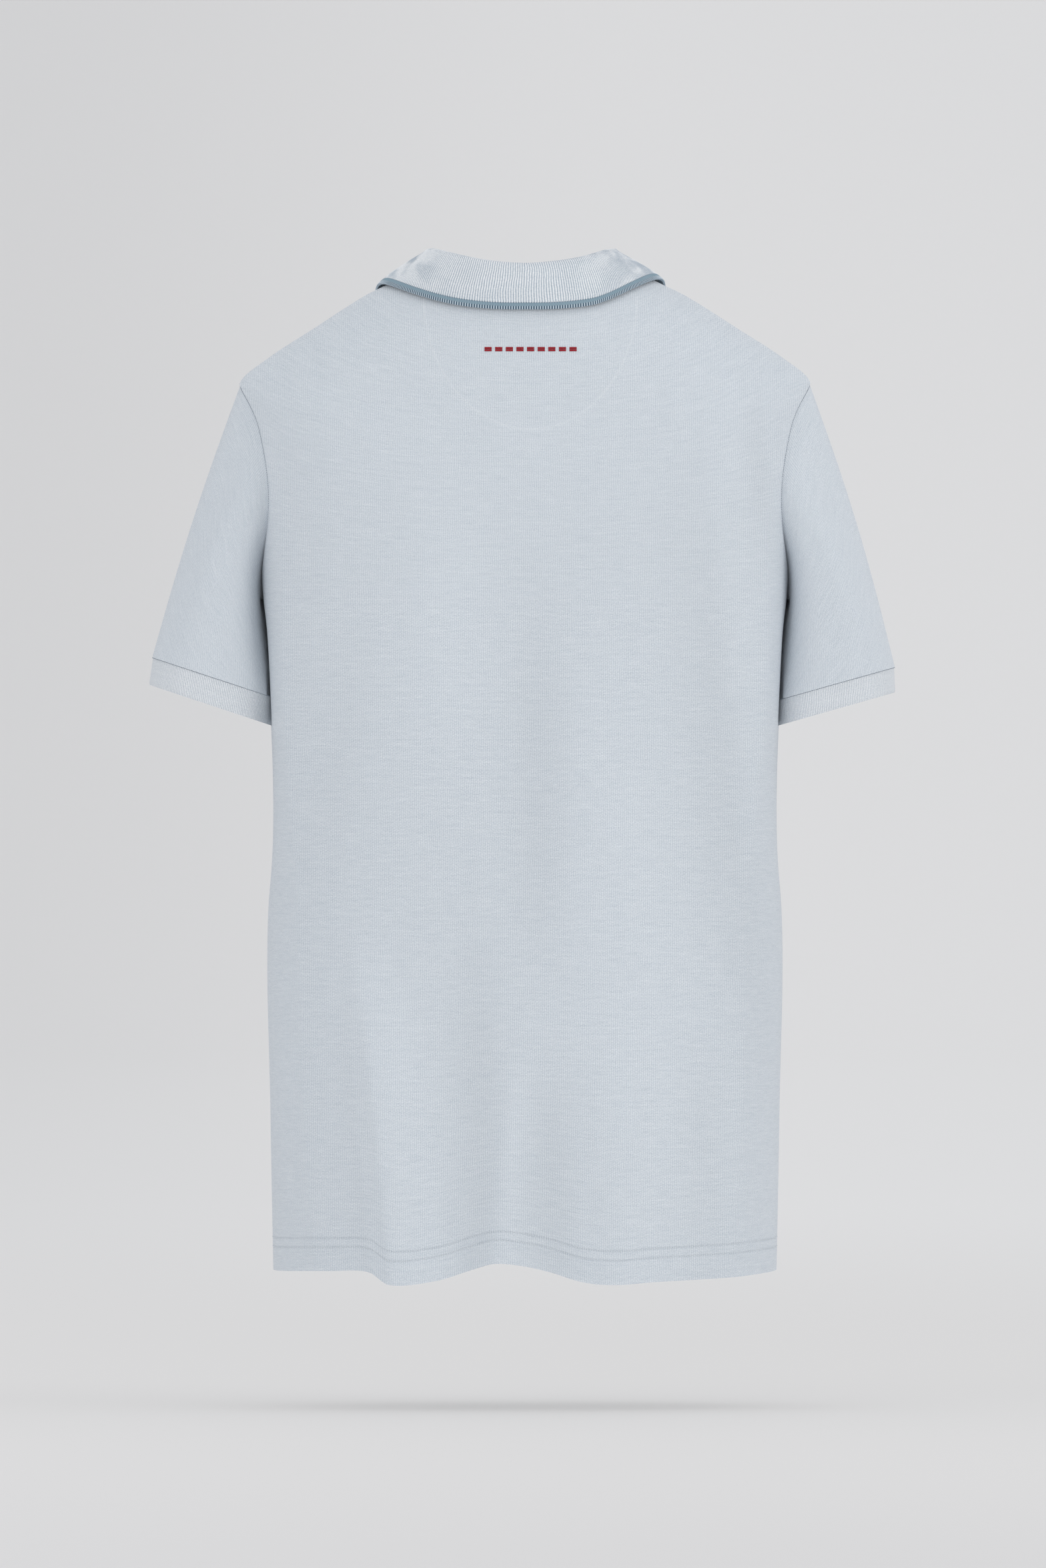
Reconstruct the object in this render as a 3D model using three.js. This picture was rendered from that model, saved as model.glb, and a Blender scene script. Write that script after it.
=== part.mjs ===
// A terry polo shirt standing filled out, with nothing in the wearer's place.
// Millimetres, +Z up. The front faces -Y, the back +Y, and the wearer's left is +X.
// The origin lies in the middle of the neck, level with the high points of the shoulders.
import * as THREE from 'three';

// Cloth
const WALL = 2.0;
const BAND_WALL = 1.8;
const SEAM_GAP = 0.3;
const LAID_WALL = 1.6;
const PATCH_WALL = 1.0;

// Heights up the panel, measured along the side from the hem
const HEM_UP = 0;
const UNDERARM_UP = 482;
const RINGS_UNDERARM_Z = -224;
const TIP_UP = 640;
const NECK_UP = 782;

// Grid sizes
const LOW_ROWS = 11;
const ARMHOLE_ROWS = 10;
const SHOULDER_ROWS = 6;
const BACK_COLUMNS = 28;
const FRONT_COLUMNS = 22;
const SLEEVE_ROWS = 8;
const CUFF_ROWS = 2;
const COLLAR_COLUMNS = 40;

// The right shoulder stands a little higher than the left one
const SHOULDER_TILT = 0.4;

// Armholes
const ARMHOLE_HALF_TURN = 0.5;
const ARMHOLE_BLUNTNESS = 0.5;

// The hollow that a hanging sleeve presses into the side of the body
const NEST_Y = 4;
const NEST_SPREAD = 35;

// Placket
const SLIT_HALF_WIDTH = 13;
const SLIT_LOW_UP = 505;
const PLACKET_HALF_WIDTH = 16;
const PLACKET_LOW_UP = 490;

// Rings round the body from hem to neckline. Depths and heights are given at the side, the
// middle of the back and the middle of the front; square is the exponent of the ring's outline.
const RINGS = [
  { up: 0, halfX: 181, sideZ: -707, backY: 103, backZ: -707, frontY: 103, frontZ: -707, square: 2.8, nest: 0 },
  { up: 110, halfX: 183, sideZ: -597, backY: 108, backZ: -597, frontY: 107, frontZ: -597, square: 2.9, nest: 0 },
  { up: 260, halfX: 184.5, sideZ: -447, backY: 113, backZ: -447, frontY: 110, frontZ: -447, square: 2.9, nest: 0 },
  { up: 350, halfX: 188, sideZ: -357, backY: 116, backZ: -357, frontY: 112, frontZ: -357, square: 3, nest: 16 },
  { up: 420, halfX: 192, sideZ: -287, backY: 118, backZ: -287, frontY: 113, frontZ: -287, square: 3, nest: 24 },
  { up: 455, halfX: 193, sideZ: -252, backY: 118, backZ: -252, frontY: 113, frontZ: -254, square: 3, nest: 19 },
  { up: 482, halfX: 193, sideZ: -225, backY: 118, backZ: -225, frontY: 113, frontZ: -230, square: 3, nest: 8 },
  { up: 560, halfX: 194, sideZ: -149, backY: 115, backZ: -167, frontY: 109, frontZ: -186, square: 3, nest: 0 },
  { up: 610, halfX: 194, sideZ: -98, backY: 110, backZ: -134, frontY: 103, frontZ: -163, square: 2.9, nest: -6 },
  { up: 640, halfX: 191, sideZ: -70, backY: 105, backZ: -112, frontY: 99, frontZ: -148, square: 2.8, nest: -14.5 },
  { up: 665, halfX: 179, sideZ: -52, backY: 100, backZ: -94, frontY: 95, frontZ: -135, square: 2.7, nest: -7 },
  { up: 700, halfX: 153, sideZ: -30.5, backY: 93, backZ: -68, frontY: 89, frontZ: -117, square: 2.6, nest: 0 },
  { up: 740, halfX: 117, sideZ: -7.5, backY: 83, backZ: -37, frontY: 81, frontZ: -94, square: 2.4, nest: 0 },
  { up: 765, halfX: 96, sideZ: 3, backY: 76, backZ: -18, frontY: 75, frontZ: -80, square: 2.3, nest: 0 },
  { up: 782, halfX: 84, sideZ: 10, backY: 71, backZ: -6, frontY: 70, frontZ: -69, square: 2.2, nest: 0 },
];

// The lower edge of the back hem, as a rise over the lowest ring
const BACK_HEM = [
  { x: -185, rise: 0 },
  { x: -150, rise: -4 },
  { x: -93, rise: -7 },
  { x: -64, rise: -9 },
  { x: -41, rise: -7 },
  { x: -18, rise: 0 },
  { x: 5, rise: 5 },
  { x: 23, rise: 6 },
  { x: 40, rise: 1 },
  { x: 63, rise: -6 },
  { x: 97, rise: -9 },
  { x: 112, rise: 0 },
  { x: 138, rise: 0.5 },
  { x: 185, rise: -0.5 },
];

// The lower edge of the front hem, freely shaped to match
const FRONT_HEM = [
  { x: -185, rise: 0 },
  { x: -128, rise: -3 },
  { x: -74, rise: 4 },
  { x: -30, rise: 1 },
  { x: 20, rise: 5 },
  { x: 48, rise: -1 },
  { x: 84, rise: -3 },
  { x: 132, rise: 1.5 },
  { x: 185, rise: -0.5 },
];

// Long soft folds. Each runs from its top to its low end; the two widths are for its left side
// (toward +X) and its right side (toward -X), and rise is how far it stands out.
const BACK_FOLDS = [
  { topX: 118, topZ: -500, lowX: 96, lowZ: -716, left: 9, right: 30, rise: 10 },
  { topX: 62, topZ: -150, lowX: 66, lowZ: -360, left: 30, right: 30, rise: 3 },
  { topX: 40, topZ: -470, lowX: 40, lowZ: -716, left: 16, right: 18, rise: -5 },
  { topX: 4, topZ: -560, lowX: 22, lowZ: -716, left: 12, right: 14, rise: 3.5 },
  { topX: -4, topZ: -230, lowX: -3, lowZ: -490, left: 20, right: 24, rise: -5 },
  { topX: -12, topZ: -570, lowX: -13, lowZ: -716, left: 14, right: 18, rise: -4.5 },
  { topX: -50, topZ: -300, lowX: -76, lowZ: -690, left: 40, right: 42, rise: 4.5 },
  { topX: -60, topZ: -540, lowX: -66, lowZ: -716, left: 20, right: 24, rise: 4 },
  { topX: -114, topZ: -130, lowX: -168, lowZ: -560, left: 30, right: 16, rise: -6 },
  { topX: -166, topZ: -70, lowX: -172, lowZ: -190, left: 10, right: 9, rise: -4 },
  { topX: -128, topZ: -560, lowX: -130, lowZ: -716, left: 16, right: 20, rise: -3 },
  { topX: 128, topZ: -240, lowX: 150, lowZ: -430, left: 16, right: 20, rise: -2.2 },
];

const FRONT_FOLDS = [
  { topX: -96, topZ: -520, lowX: -82, lowZ: -716, left: 18, right: 14, rise: 5 },
  { topX: -50, topZ: -610, lowX: -44, lowZ: -716, left: 14, right: 16, rise: -4 },
  { topX: 20, topZ: -300, lowX: 30, lowZ: -500, left: 24, right: 20, rise: -3 },
  { topX: 30, topZ: -560, lowX: 34, lowZ: -716, left: 18, right: 22, rise: 4.5 },
  { topX: 84, topZ: -590, lowX: 80, lowZ: -716, left: 13, right: 15, rise: -4 },
  { topX: 126, topZ: -220, lowX: 152, lowZ: -440, left: 18, right: 18, rise: -2.8 },
  { topX: -122, topZ: -200, lowX: -150, lowZ: -400, left: 16, right: 20, rise: -2.4 },
];

// The two sleeves. Outer and inner are the ends of the cuff seam, drop is the cuff below it.
const SLEEVES = {
  left: { side: 1, outerX: 268, outerZ: -267, innerX: 177, innerZ: -297, dropX: 3, dropZ: -19.5, puff: 2.5 },
  right: { side: -1, outerX: 266, outerZ: -274, innerX: 177, innerZ: -299, dropX: 1, dropZ: -18, puff: 3.5 },
};
const SLEEVE_Y = 4;
const SLEEVE_HALF_DEPTH = 65;
const SLEEVE_BLUNTNESS = 0.7;
const SLEEVE_REACH_X = 14;
const SLEEVE_REACH_Z = 26;
const SLEEVE_CLEARANCE = 2.6;
const CUFF_INSET = 0.65;

// Soft creases on a sleeve: turn is counted from the outer line toward the back, along from
// the armhole (0) to the cuff (1).
const SLEEVE_CREASES = [
  { turn: 0.9, along: 0.3, turnSpread: 0.35, alongSpread: 0.14, rise: -2 },
  { turn: 1.3, along: 0.62, turnSpread: 0.3, alongSpread: 0.2, rise: 1.6 },
  { turn: -0.8, along: 0.34, turnSpread: 0.35, alongSpread: 0.15, rise: -2.2 },
  { turn: -1.5, along: 0.66, turnSpread: 0.3, alongSpread: 0.18, rise: 1.5 },
];

// Collar profile at five turns from the middle of the back to the front: how far the fold stands
// out from the neckline and above it, and how far down the body the loose edge reaches. The tucks
// draw the two ends of its fold and loose edge in toward the neck, up the slope of the shoulder.
const COLLAR = [
  { off: 0, foldOut: 0, foldUp: 21, edgeUp: 763.5, edgeShift: 0 },
  { off: 0.8, foldOut: -6, foldUp: 23, edgeUp: 761, edgeShift: 0 },
  { off: 1.57, foldOut: -16, foldUp: 17, edgeUp: 753, edgeShift: 0 },
  { off: 2.3, foldOut: -6, foldUp: 22, edgeUp: 735, edgeShift: 0.1 },
  { off: 3.1, foldOut: -1, foldUp: 22, edgeUp: 702, edgeShift: 0.42 },
];
const COLLAR_END_TURN = 3.09;
const COLLAR_LIFT = 2.6;
const COLLAR_RIGHT_TUCK = 5.5;
const EDGE_TUCK = { left: 2, right: 9 };
const EDGE_TUCK_SLOPE = 0.52;

// Patch inside the back of the neck
const PATCH_X = -4;
const PATCH_TOP_Z = -8;
const PATCH_HALF_WIDTH = 78;
const PATCH_DEPTH = 98;

// Buttons
const BUTTON_RADIUS = 5.6;
const BUTTON_THICK = 2.2;
const BUTTON_UPS = [757, 663, 575];

// Colours
const BODY_COLOUR = 0xc8cfd6;
const COLLAR_COLOUR = 0xcacfd4;
const TAPE_COLOUR = 0xd2d7dc;
const BUTTON_COLOUR = 0xe6e7e6;

// Smooth curve through one column of a table
function through(rows, axis, column, at) {
  const last = rows.length - 1;
  const place = Math.min(Math.max(at, rows[0][axis]), rows[last][axis]);
  let k = 0;
  while (k < last - 1 && place > rows[k + 1][axis]) {
    k += 1;
  }
  const slopeAt = (i) => {
    const a = Math.max(i - 1, 0);
    const b = Math.min(i + 1, last);
    return (rows[b][column] - rows[a][column]) / (rows[b][axis] - rows[a][axis]);
  };
  const run = rows[k + 1][axis] - rows[k][axis];
  const t = (place - rows[k][axis]) / run;
  const t2 = t * t;
  const t3 = t2 * t;
  return (2 * t3 - 3 * t2 + 1) * rows[k][column]
    + (t3 - 2 * t2 + t) * run * slopeAt(k)
    + (3 * t2 - 2 * t3) * rows[k + 1][column]
    + (t3 - t2) * run * slopeAt(k + 1);
}

function ease(from, to, at) {
  const t = Math.min(Math.max((at - from) / (to - from), 0), 1);
  return t * t * (3 - 2 * t);
}

function foldRise(folds, x, z) {
  let rise = 0;
  for (const fold of folds) {
    const length = fold.topZ - fold.lowZ;
    const t = (fold.topZ - z) / length;
    if (t > -0.3 && t < 1.3) {
      const lineX = fold.topX + (fold.lowX - fold.topX) * t;
      const width = x > lineX ? fold.left : fold.right;
      const atHem = fold.lowZ < -700;
      const fade = ease(-0.25, 0.45, t) * (atHem ? 1 : 1 - ease(0.6, 1.25, t));
      rise += fold.rise * fade * Math.exp(-(((x - lineX) / width) ** 2));
    }
  }
  return rise;
}

// A point of the body's outer face. Turn 0 is the left side, a quarter turn the back.
function bodyPoint(turn, up) {
  const c = Math.cos(turn);
  const s = Math.sin(turn);
  const square = through(RINGS, 'up', 'square', up);
  const pull = (Math.abs(c) ** square + Math.abs(s) ** square) ** (-1 / square);
  const isBack = s >= 0;
  const depth = through(RINGS, 'up', isBack ? 'backY' : 'frontY', up);
  const sideZ = through(RINGS, 'up', 'sideZ', up);
  const middleZ = through(RINGS, 'up', isBack ? 'backZ' : 'frontZ', up);
  let x = through(RINGS, 'up', 'halfX', up) * c * pull;
  let y = depth * s * pull;
  let z = sideZ + (middleZ - sideZ) * (s * pull) ** 2;
  const nest = through(RINGS, 'up', 'nest', up);
  x -= Math.sign(c) * nest * Math.exp(-(((y - NEST_Y) / NEST_SPREAD) ** 2));
  const away = ease(0, 0.45, Math.abs(s * pull));
  const hem = through(isBack ? BACK_HEM : FRONT_HEM, 'x', 'rise', x);
  z += hem * (1 - ease(0, 150, up)) * away;
  z -= SHOULDER_TILT * (x / 200) * ease(560, 640, up) * ease(95, 150, Math.abs(x));
  const rise = foldRise(isBack ? BACK_FOLDS : FRONT_FOLDS, x, z) * away;
  y += isBack ? rise : -rise;
  return new THREE.Vector3(x, y, z);
}

function bodyNormal(turn, up) {
  const step = 0.004;
  const reach = 1;
  const upper = Math.min(up + reach, NECK_UP);
  const lower = Math.max(up - reach, HEM_UP);
  const across = bodyPoint(turn + step, up).sub(bodyPoint(turn - step, up));
  const along = bodyPoint(turn, upper).sub(bodyPoint(turn, lower));
  return across.cross(along).normalize();
}

function bodyOff(turn, up, out) {
  return bodyPoint(turn, up).addScaledVector(bodyNormal(turn, up), out);
}

// The turn and height of the back at a seen place
function backAt(x, z) {
  let turn = Math.PI / 2 - x / 190;
  let up = z > -225 ? 482 + (z + 225) * 1.36 : z + 707;
  for (let k = 0; k < 14; k += 1) {
    const here = bodyPoint(turn, up);
    const byTurn = bodyPoint(turn + 0.002, up).sub(here).divideScalar(0.002);
    const byUp = bodyPoint(turn, up - 0.5).sub(here).divideScalar(-0.5);
    const dx = x - here.x;
    const dz = z - here.z;
    const det = byTurn.x * byUp.z - byUp.x * byTurn.z;
    turn += (dx * byUp.z - dz * byUp.x) / det;
    up += (byTurn.x * dz - byTurn.z * dx) / det;
    up = Math.min(Math.max(up, 1), NECK_UP);
  }
  return { turn, up };
}

// Half the turn that the armhole takes out of a ring
function armholeTurn(up) {
  if (up <= UNDERARM_UP || up >= TIP_UP) {
    return 0;
  }
  const q = (up - UNDERARM_UP) / (TIP_UP - UNDERARM_UP);
  return ARMHOLE_HALF_TURN * Math.sin(Math.PI * q) ** ARMHOLE_BLUNTNESS;
}

// Rows of both panels
const UPS = [];
for (let k = 0; k < LOW_ROWS; k += 1) {
  UPS.push(HEM_UP + (UNDERARM_UP - HEM_UP) * (k / LOW_ROWS));
}
for (let k = 0; k < ARMHOLE_ROWS; k += 1) {
  const q = (1 - Math.cos((Math.PI * k) / ARMHOLE_ROWS)) / 2;
  UPS.push(UNDERARM_UP + (TIP_UP - UNDERARM_UP) * q);
}
for (let k = 0; k <= SHOULDER_ROWS; k += 1) {
  UPS.push(TIP_UP + (NECK_UP - TIP_UP) * (k / SHOULDER_ROWS));
}
const ROWS = UPS.length - 1;
const FIRST_ARM_ROW = LOW_ROWS;
const LAST_ARM_ROW = LOW_ROWS + ARMHOLE_ROWS;

function edgeTurn(up) {
  return armholeTurn(up) + (SEAM_GAP * 0.5) / through(RINGS, 'up', 'frontY', up);
}

function backTurn(i, up) {
  const edge = edgeTurn(up);
  return edge + (Math.PI - 2 * edge) * (i / BACK_COLUMNS);
}

function slitTurn(up) {
  return Math.asin(SLIT_HALF_WIDTH / through(RINGS, 'up', 'halfX', up));
}

function frontTurn(i, up) {
  const edge = edgeTurn(up);
  const half = FRONT_COLUMNS / 2;
  const middle = Math.PI * 1.5;
  if (i === half) {
    return middle;
  }
  const slit = slitTurn(up);
  const side = Math.sign(i - half);
  const t = (Math.abs(i - half) - 1) / (half - 1);
  return middle + side * (slit + (Math.PI / 2 - edge - slit) * t);
}

// A closed shell from a grid of outer points. Cells left out of the mask become openings.
function shell(grid, wall, options = {}) {
  const columns = grid.length - (options.loop ? 0 : 1);
  const rows = grid[0].length - 1;
  const count = grid.length;
  const near = (i) => (options.loop ? (i + count) % count : Math.min(Math.max(i, 0), count - 1));
  const positions = [];
  const outerIndex = [];
  const innerIndex = [];
  const present = (i, j) => {
    if (j < 0 || j >= rows) {
      return false;
    }
    if (!options.loop && (i < 0 || i >= columns)) {
      return false;
    }
    return options.mask ? options.mask(near(i), j) : true;
  };
  for (let i = 0; i < count; i += 1) {
    outerIndex.push([]);
    innerIndex.push([]);
    for (let j = 0; j <= rows; j += 1) {
      const used = present(i, j) || present(i - 1, j) || present(i, j - 1) || present(i - 1, j - 1);
      if (!used) {
        outerIndex[i].push(-1);
        innerIndex[i].push(-1);
        continue;
      }
      const here = grid[i][j];
      let inward = options.inward ? options.inward(i, j) : null;
      if (!inward) {
        const across = grid[near(i + 1)][j].clone().sub(grid[near(i - 1)][j]);
        const along = grid[i][Math.min(j + 1, rows)].clone().sub(grid[i][Math.max(j - 1, 0)]);
        inward = across.cross(along).normalize().multiplyScalar(-wall);
      }
      outerIndex[i].push(positions.length / 3);
      positions.push(here.x, here.y, here.z);
      innerIndex[i].push(positions.length / 3);
      positions.push(here.x + inward.x, here.y + inward.y, here.z + inward.z);
    }
  }
  const triangles = [];
  const rim = (i0, j0, i1, j1) => {
    const p = outerIndex[i0][j0];
    const q = outerIndex[i1][j1];
    const pIn = innerIndex[i0][j0];
    const qIn = innerIndex[i1][j1];
    triangles.push(q, p, pIn, q, pIn, qIn);
  };
  for (let i = 0; i < columns; i += 1) {
    const n = near(i + 1);
    for (let j = 0; j < rows; j += 1) {
      if (!present(i, j)) {
        continue;
      }
      const a = outerIndex[i][j];
      const b = outerIndex[n][j];
      const c = outerIndex[n][j + 1];
      const d = outerIndex[i][j + 1];
      triangles.push(a, b, c, a, c, d);
      const aIn = innerIndex[i][j];
      const bIn = innerIndex[n][j];
      const cIn = innerIndex[n][j + 1];
      const dIn = innerIndex[i][j + 1];
      triangles.push(aIn, cIn, bIn, aIn, dIn, cIn);
      if (!present(i, j - 1)) {
        rim(i, j, n, j);
      }
      if (!present(i + 1, j)) {
        rim(n, j, n, j + 1);
      }
      if (!present(i, j + 1)) {
        rim(n, j + 1, i, j + 1);
      }
      if (!present(i - 1, j)) {
        rim(i, j + 1, i, j);
      }
    }
  }
  const geometry = new THREE.BufferGeometry();
  geometry.setAttribute('position', new THREE.Float32BufferAttribute(positions, 3));
  geometry.setIndex(triangles);
  geometry.computeVertexNormals();
  return geometry;
}

const shirt = new THREE.Group();

function addPiece(name, geometry, colour, roughness) {
  const material = new THREE.MeshStandardMaterial({ color: colour, roughness, metalness: 0 });
  const mesh = new THREE.Mesh(geometry, material);
  mesh.name = name;
  shirt.add(mesh);
  return mesh;
}

// One armhole as a loop of panel edge points, ordered so that the sleeve's face points out
function armholeLoop(side) {
  const loop = [];
  const sideTurn = side > 0 ? 0 : Math.PI;
  const half = (toBack) => {
    const list = [];
    for (let j = LAST_ARM_ROW - 1; j > FIRST_ARM_ROW; j -= 1) {
      const up = UPS[j];
      const edge = edgeTurn(up) * (toBack ? 1 : -1);
      list.push({ turn: side > 0 ? edge : Math.PI - edge, up, row: j });
    }
    return list;
  };
  const first = half(side < 0);
  const second = half(side > 0).reverse();
  loop.push({ turn: sideTurn, up: TIP_UP, row: LAST_ARM_ROW });
  loop.push(...first);
  loop.push({ turn: sideTurn, up: UNDERARM_UP, row: FIRST_ARM_ROW });
  loop.push(...second);
  return loop;
}

// Places round a sleeve, as a turn from its outer line, from the loop's own lengths
function loopTurns(loop) {
  const points = loop.map((node) => bodyPoint(node.turn, node.up));
  const half = loop.length / 2;
  const lengthTo = [0];
  for (let i = 1; i <= loop.length; i += 1) {
    lengthTo.push(lengthTo[i - 1] + points[i % loop.length].distanceTo(points[i - 1]));
  }
  const turns = [];
  for (let i = 0; i < loop.length; i += 1) {
    if (i <= half) {
      turns.push((Math.PI * lengthTo[i]) / lengthTo[half]);
    } else {
      const rest = lengthTo[loop.length] - lengthTo[half];
      turns.push(Math.PI + (Math.PI * (lengthTo[i] - lengthTo[half])) / rest);
    }
  }
  return turns;
}

// Squares the back of a sleeve's round section a little, so that it lies flatter there
function blunted(value, sine) {
  return sine > 0 ? Math.sign(value) * Math.abs(value) ** SLEEVE_BLUNTNESS : value;
}

// A point of the cuff seam. A positive sine lies toward the back on both sleeves.
function cuffSeam(spec, cosine, sine, grow) {
  const midX = (spec.outerX + spec.innerX) / 2;
  const midZ = (spec.outerZ + spec.innerZ) / 2;
  const halfX = (spec.outerX - spec.innerX) / 2;
  const halfZ = (spec.outerZ - spec.innerZ) / 2;
  const halfWide = Math.hypot(halfX, halfZ);
  const scale = (halfWide + grow) / halfWide;
  const x = midX + halfX * blunted(cosine, sine) * scale;
  const z = midZ + halfZ * blunted(cosine, sine) * scale;
  const y = SLEEVE_Y + (SLEEVE_HALF_DEPTH + grow) * blunted(sine, sine);
  return new THREE.Vector3(spec.side * x, y, z);
}

function sleeveCrease(turnToBack, along) {
  let rise = 0;
  for (const crease of SLEEVE_CREASES) {
    const a = (turnToBack - crease.turn) / crease.turnSpread;
    const b = (along - crease.along) / crease.alongSpread;
    rise += crease.rise * Math.exp(-a * a - b * b);
  }
  return rise;
}

// How far the body's side reaches out at a depth and height below the underarm
function bodyReach(y, z) {
  const up = z - RINGS[0].sideZ;
  const sign = y < 0 ? -1 : 1;
  let low = 0;
  let high = Math.PI / 2;
  for (let k = 0; k < 22; k += 1) {
    const middle = (low + high) / 2;
    if (Math.abs(bodyPoint(sign * middle, up).y) < Math.abs(y)) {
      low = middle;
    } else {
      high = middle;
    }
  }
  return bodyPoint(sign * low, up).x;
}

function makeSleeve(spec) {
  const loop = armholeLoop(spec.side);
  const turns = loopTurns(loop);
  const count = loop.length;
  const ruled = (i, t) => {
    const node = loop[i];
    const start = bodyPoint(node.turn, node.up);
    const sine = Math.sin(turns[i]) * (spec.side > 0 ? -1 : 1);
    const end = cuffSeam(spec, Math.cos(turns[i]), sine, 0);
    const under = (1 - Math.cos(turns[i])) / 2;
    const reach = 2 * t * (1 - t) * (sine * sine + 0.7 * under * under);
    const point = start.lerp(end, t);
    point.x += spec.side * SLEEVE_REACH_X * reach;
    point.z += SLEEVE_REACH_Z * reach;
    return { point, cosine: Math.cos(turns[i]), sine };
  };
  const grid = [];
  for (let i = 0; i < count; i += 1) {
    const column = [];
    for (let j = 0; j <= SLEEVE_ROWS; j += 1) {
      const t = j / SLEEVE_ROWS;
      const { point, cosine, sine } = ruled(i, t);
      const turnToBack = Math.atan2(sine, cosine);
      const out = spec.puff * Math.sin(Math.PI * t)
        + sleeveCrease(turnToBack, t) * Math.sin(Math.PI * t) ** 0.5;
      const away = new THREE.Vector3(spec.side * cosine, sine, 0.3 * cosine).normalize();
      point.addScaledVector(away, out);
      if (t > 0 && point.z < RINGS_UNDERARM_Z) {
        const least = bodyReach(point.y, point.z) + SLEEVE_CLEARANCE;
        point.x = spec.side * Math.max(spec.side * point.x, least);
      }
      column.push(point);
    }
    grid.push(column);
  }
  const seamIn = [];
  const seamAway = [];
  for (let i = 0; i < count; i += 1) {
    const node = loop[i];
    const bodyOut = bodyNormal(node.turn, node.up);
    const before = grid[(i + count - 1) % count][0];
    const after = grid[(i + 1) % count][0];
    const across = after.clone().sub(before);
    const along = grid[i][1].clone().sub(grid[i][0]);
    const sleeveOut = across.clone().cross(along).normalize();
    const shared = bodyOut.clone().add(sleeveOut);
    if (node.row === FIRST_ARM_ROW || node.row === LAST_ARM_ROW) {
      shared.setY(0);
    }
    shared.normalize();
    const depth = WALL / Math.max(shared.dot(bodyOut), 0.7);
    seamIn.push(shared.multiplyScalar(-depth));
    seamAway.push(sleeveOut.clone().cross(across.normalize()));
  }
  for (let i = 0; i < count; i += 1) {
    grid[i][0].addScaledVector(seamAway[i], SEAM_GAP * 3);
  }
  const geometry = shell(grid, WALL, { loop: true, inward: (i, j) => (j === 0 ? seamIn[i].clone() : null) });
  return { geometry, loop, seamIn };
}

function makeCuff(spec, turns) {
  const grid = [];
  for (let i = 0; i < turns.length; i += 1) {
    const sine = Math.sin(turns[i]) * (spec.side > 0 ? -1 : 1);
    const top = cuffSeam(spec, Math.cos(turns[i]), sine, -CUFF_INSET);
    const column = [];
    for (let j = 0; j <= CUFF_ROWS; j += 1) {
      const t = j / CUFF_ROWS;
      const gap = SEAM_GAP + 0.5;
      const drop = new THREE.Vector3(spec.side * spec.dropX * t, 0, -gap + (spec.dropZ + gap) * t);
      column.push(top.clone().add(drop));
    }
    grid.push(column);
  }
  return shell(grid, BAND_WALL, { loop: true });
}

const leftSleeve = makeSleeve(SLEEVES.left);
const rightSleeve = makeSleeve(SLEEVES.right);

// The way in at an armhole edge, shared by panel and sleeve so that their faces stay parallel
function seamInward(sleeve, row, toBack) {
  const found = sleeve.loop.findIndex((node) => {
    if (node.row !== row) {
      return false;
    }
    const isEnd = row === FIRST_ARM_ROW || row === LAST_ARM_ROW;
    return isEnd || Math.sin(node.turn) > 0 === toBack;
  });
  return sleeve.seamIn[found].clone();
}

function panelInward(toBack, columns) {
  return (i, j) => {
    if (i > 0 && i < columns) {
      return null;
    }
    const onLeft = toBack ? i === 0 : i === columns;
    if (j < FIRST_ARM_ROW || j > LAST_ARM_ROW) {
      const straight = bodyNormal(onLeft ? 0 : Math.PI, UPS[j]).setY(0).normalize();
      return straight.multiplyScalar(-WALL);
    }
    return seamInward(onLeft ? leftSleeve : rightSleeve, j, toBack);
  };
}

function panelGrid(columns, turnOf) {
  const grid = [];
  for (let i = 0; i <= columns; i += 1) {
    grid.push(UPS.map((up) => bodyPoint(turnOf(i, up), up)));
  }
  return grid;
}

// Panels
const backGeometry = shell(panelGrid(BACK_COLUMNS, backTurn), WALL, {
  inward: panelInward(true, BACK_COLUMNS),
});
addPiece('back_panel', backGeometry, BODY_COLOUR, 0.95);

const slitRow = UPS.findIndex((up) => up >= SLIT_LOW_UP);
const frontGeometry = shell(panelGrid(FRONT_COLUMNS, frontTurn), WALL, {
  inward: panelInward(false, FRONT_COLUMNS),
  mask: (i, j) => j < slitRow || Math.abs(i + 0.5 - FRONT_COLUMNS / 2) > 1,
});
addPiece('front_panel', frontGeometry, BODY_COLOUR, 0.95);

// Sleeves and their knitted bands
addPiece('sleeve_left', leftSleeve.geometry, BODY_COLOUR, 0.95);
addPiece('sleeve_right', rightSleeve.geometry, BODY_COLOUR, 0.95);
addPiece('cuff_left', makeCuff(SLEEVES.left, loopTurns(leftSleeve.loop)), COLLAR_COLOUR, 0.9);
addPiece('cuff_right', makeCuff(SLEEVES.right, loopTurns(rightSleeve.loop)), COLLAR_COLOUR, 0.9);

// Half-moon patch inside the back of the neck
const PATCH_COLUMNS = 14;
const PATCH_ROWS = 5;
const patchGrid = [];
for (let i = 0; i <= PATCH_COLUMNS; i += 1) {
  const swing = 1.5 * (1 - (2 * i) / PATCH_COLUMNS);
  const low = backAt(PATCH_X + PATCH_HALF_WIDTH * Math.sin(swing), PATCH_TOP_Z - PATCH_DEPTH * Math.cos(swing));
  const highTurn = Math.PI / 2 - (Math.PI / 2 - low.turn) * 1.12;
  const column = [];
  for (let j = 0; j <= PATCH_ROWS; j += 1) {
    const t = j / PATCH_ROWS;
    const turn = low.turn + (highTurn - low.turn) * t;
    const up = low.up + (NECK_UP - 0.5 - low.up) * t;
    column.push(bodyOff(turn, up, -WALL - SEAM_GAP - 0.35));
  }
  patchGrid.push(column);
}
addPiece('half_moon', shell(patchGrid, PATCH_WALL), TAPE_COLOUR, 0.95);

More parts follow.
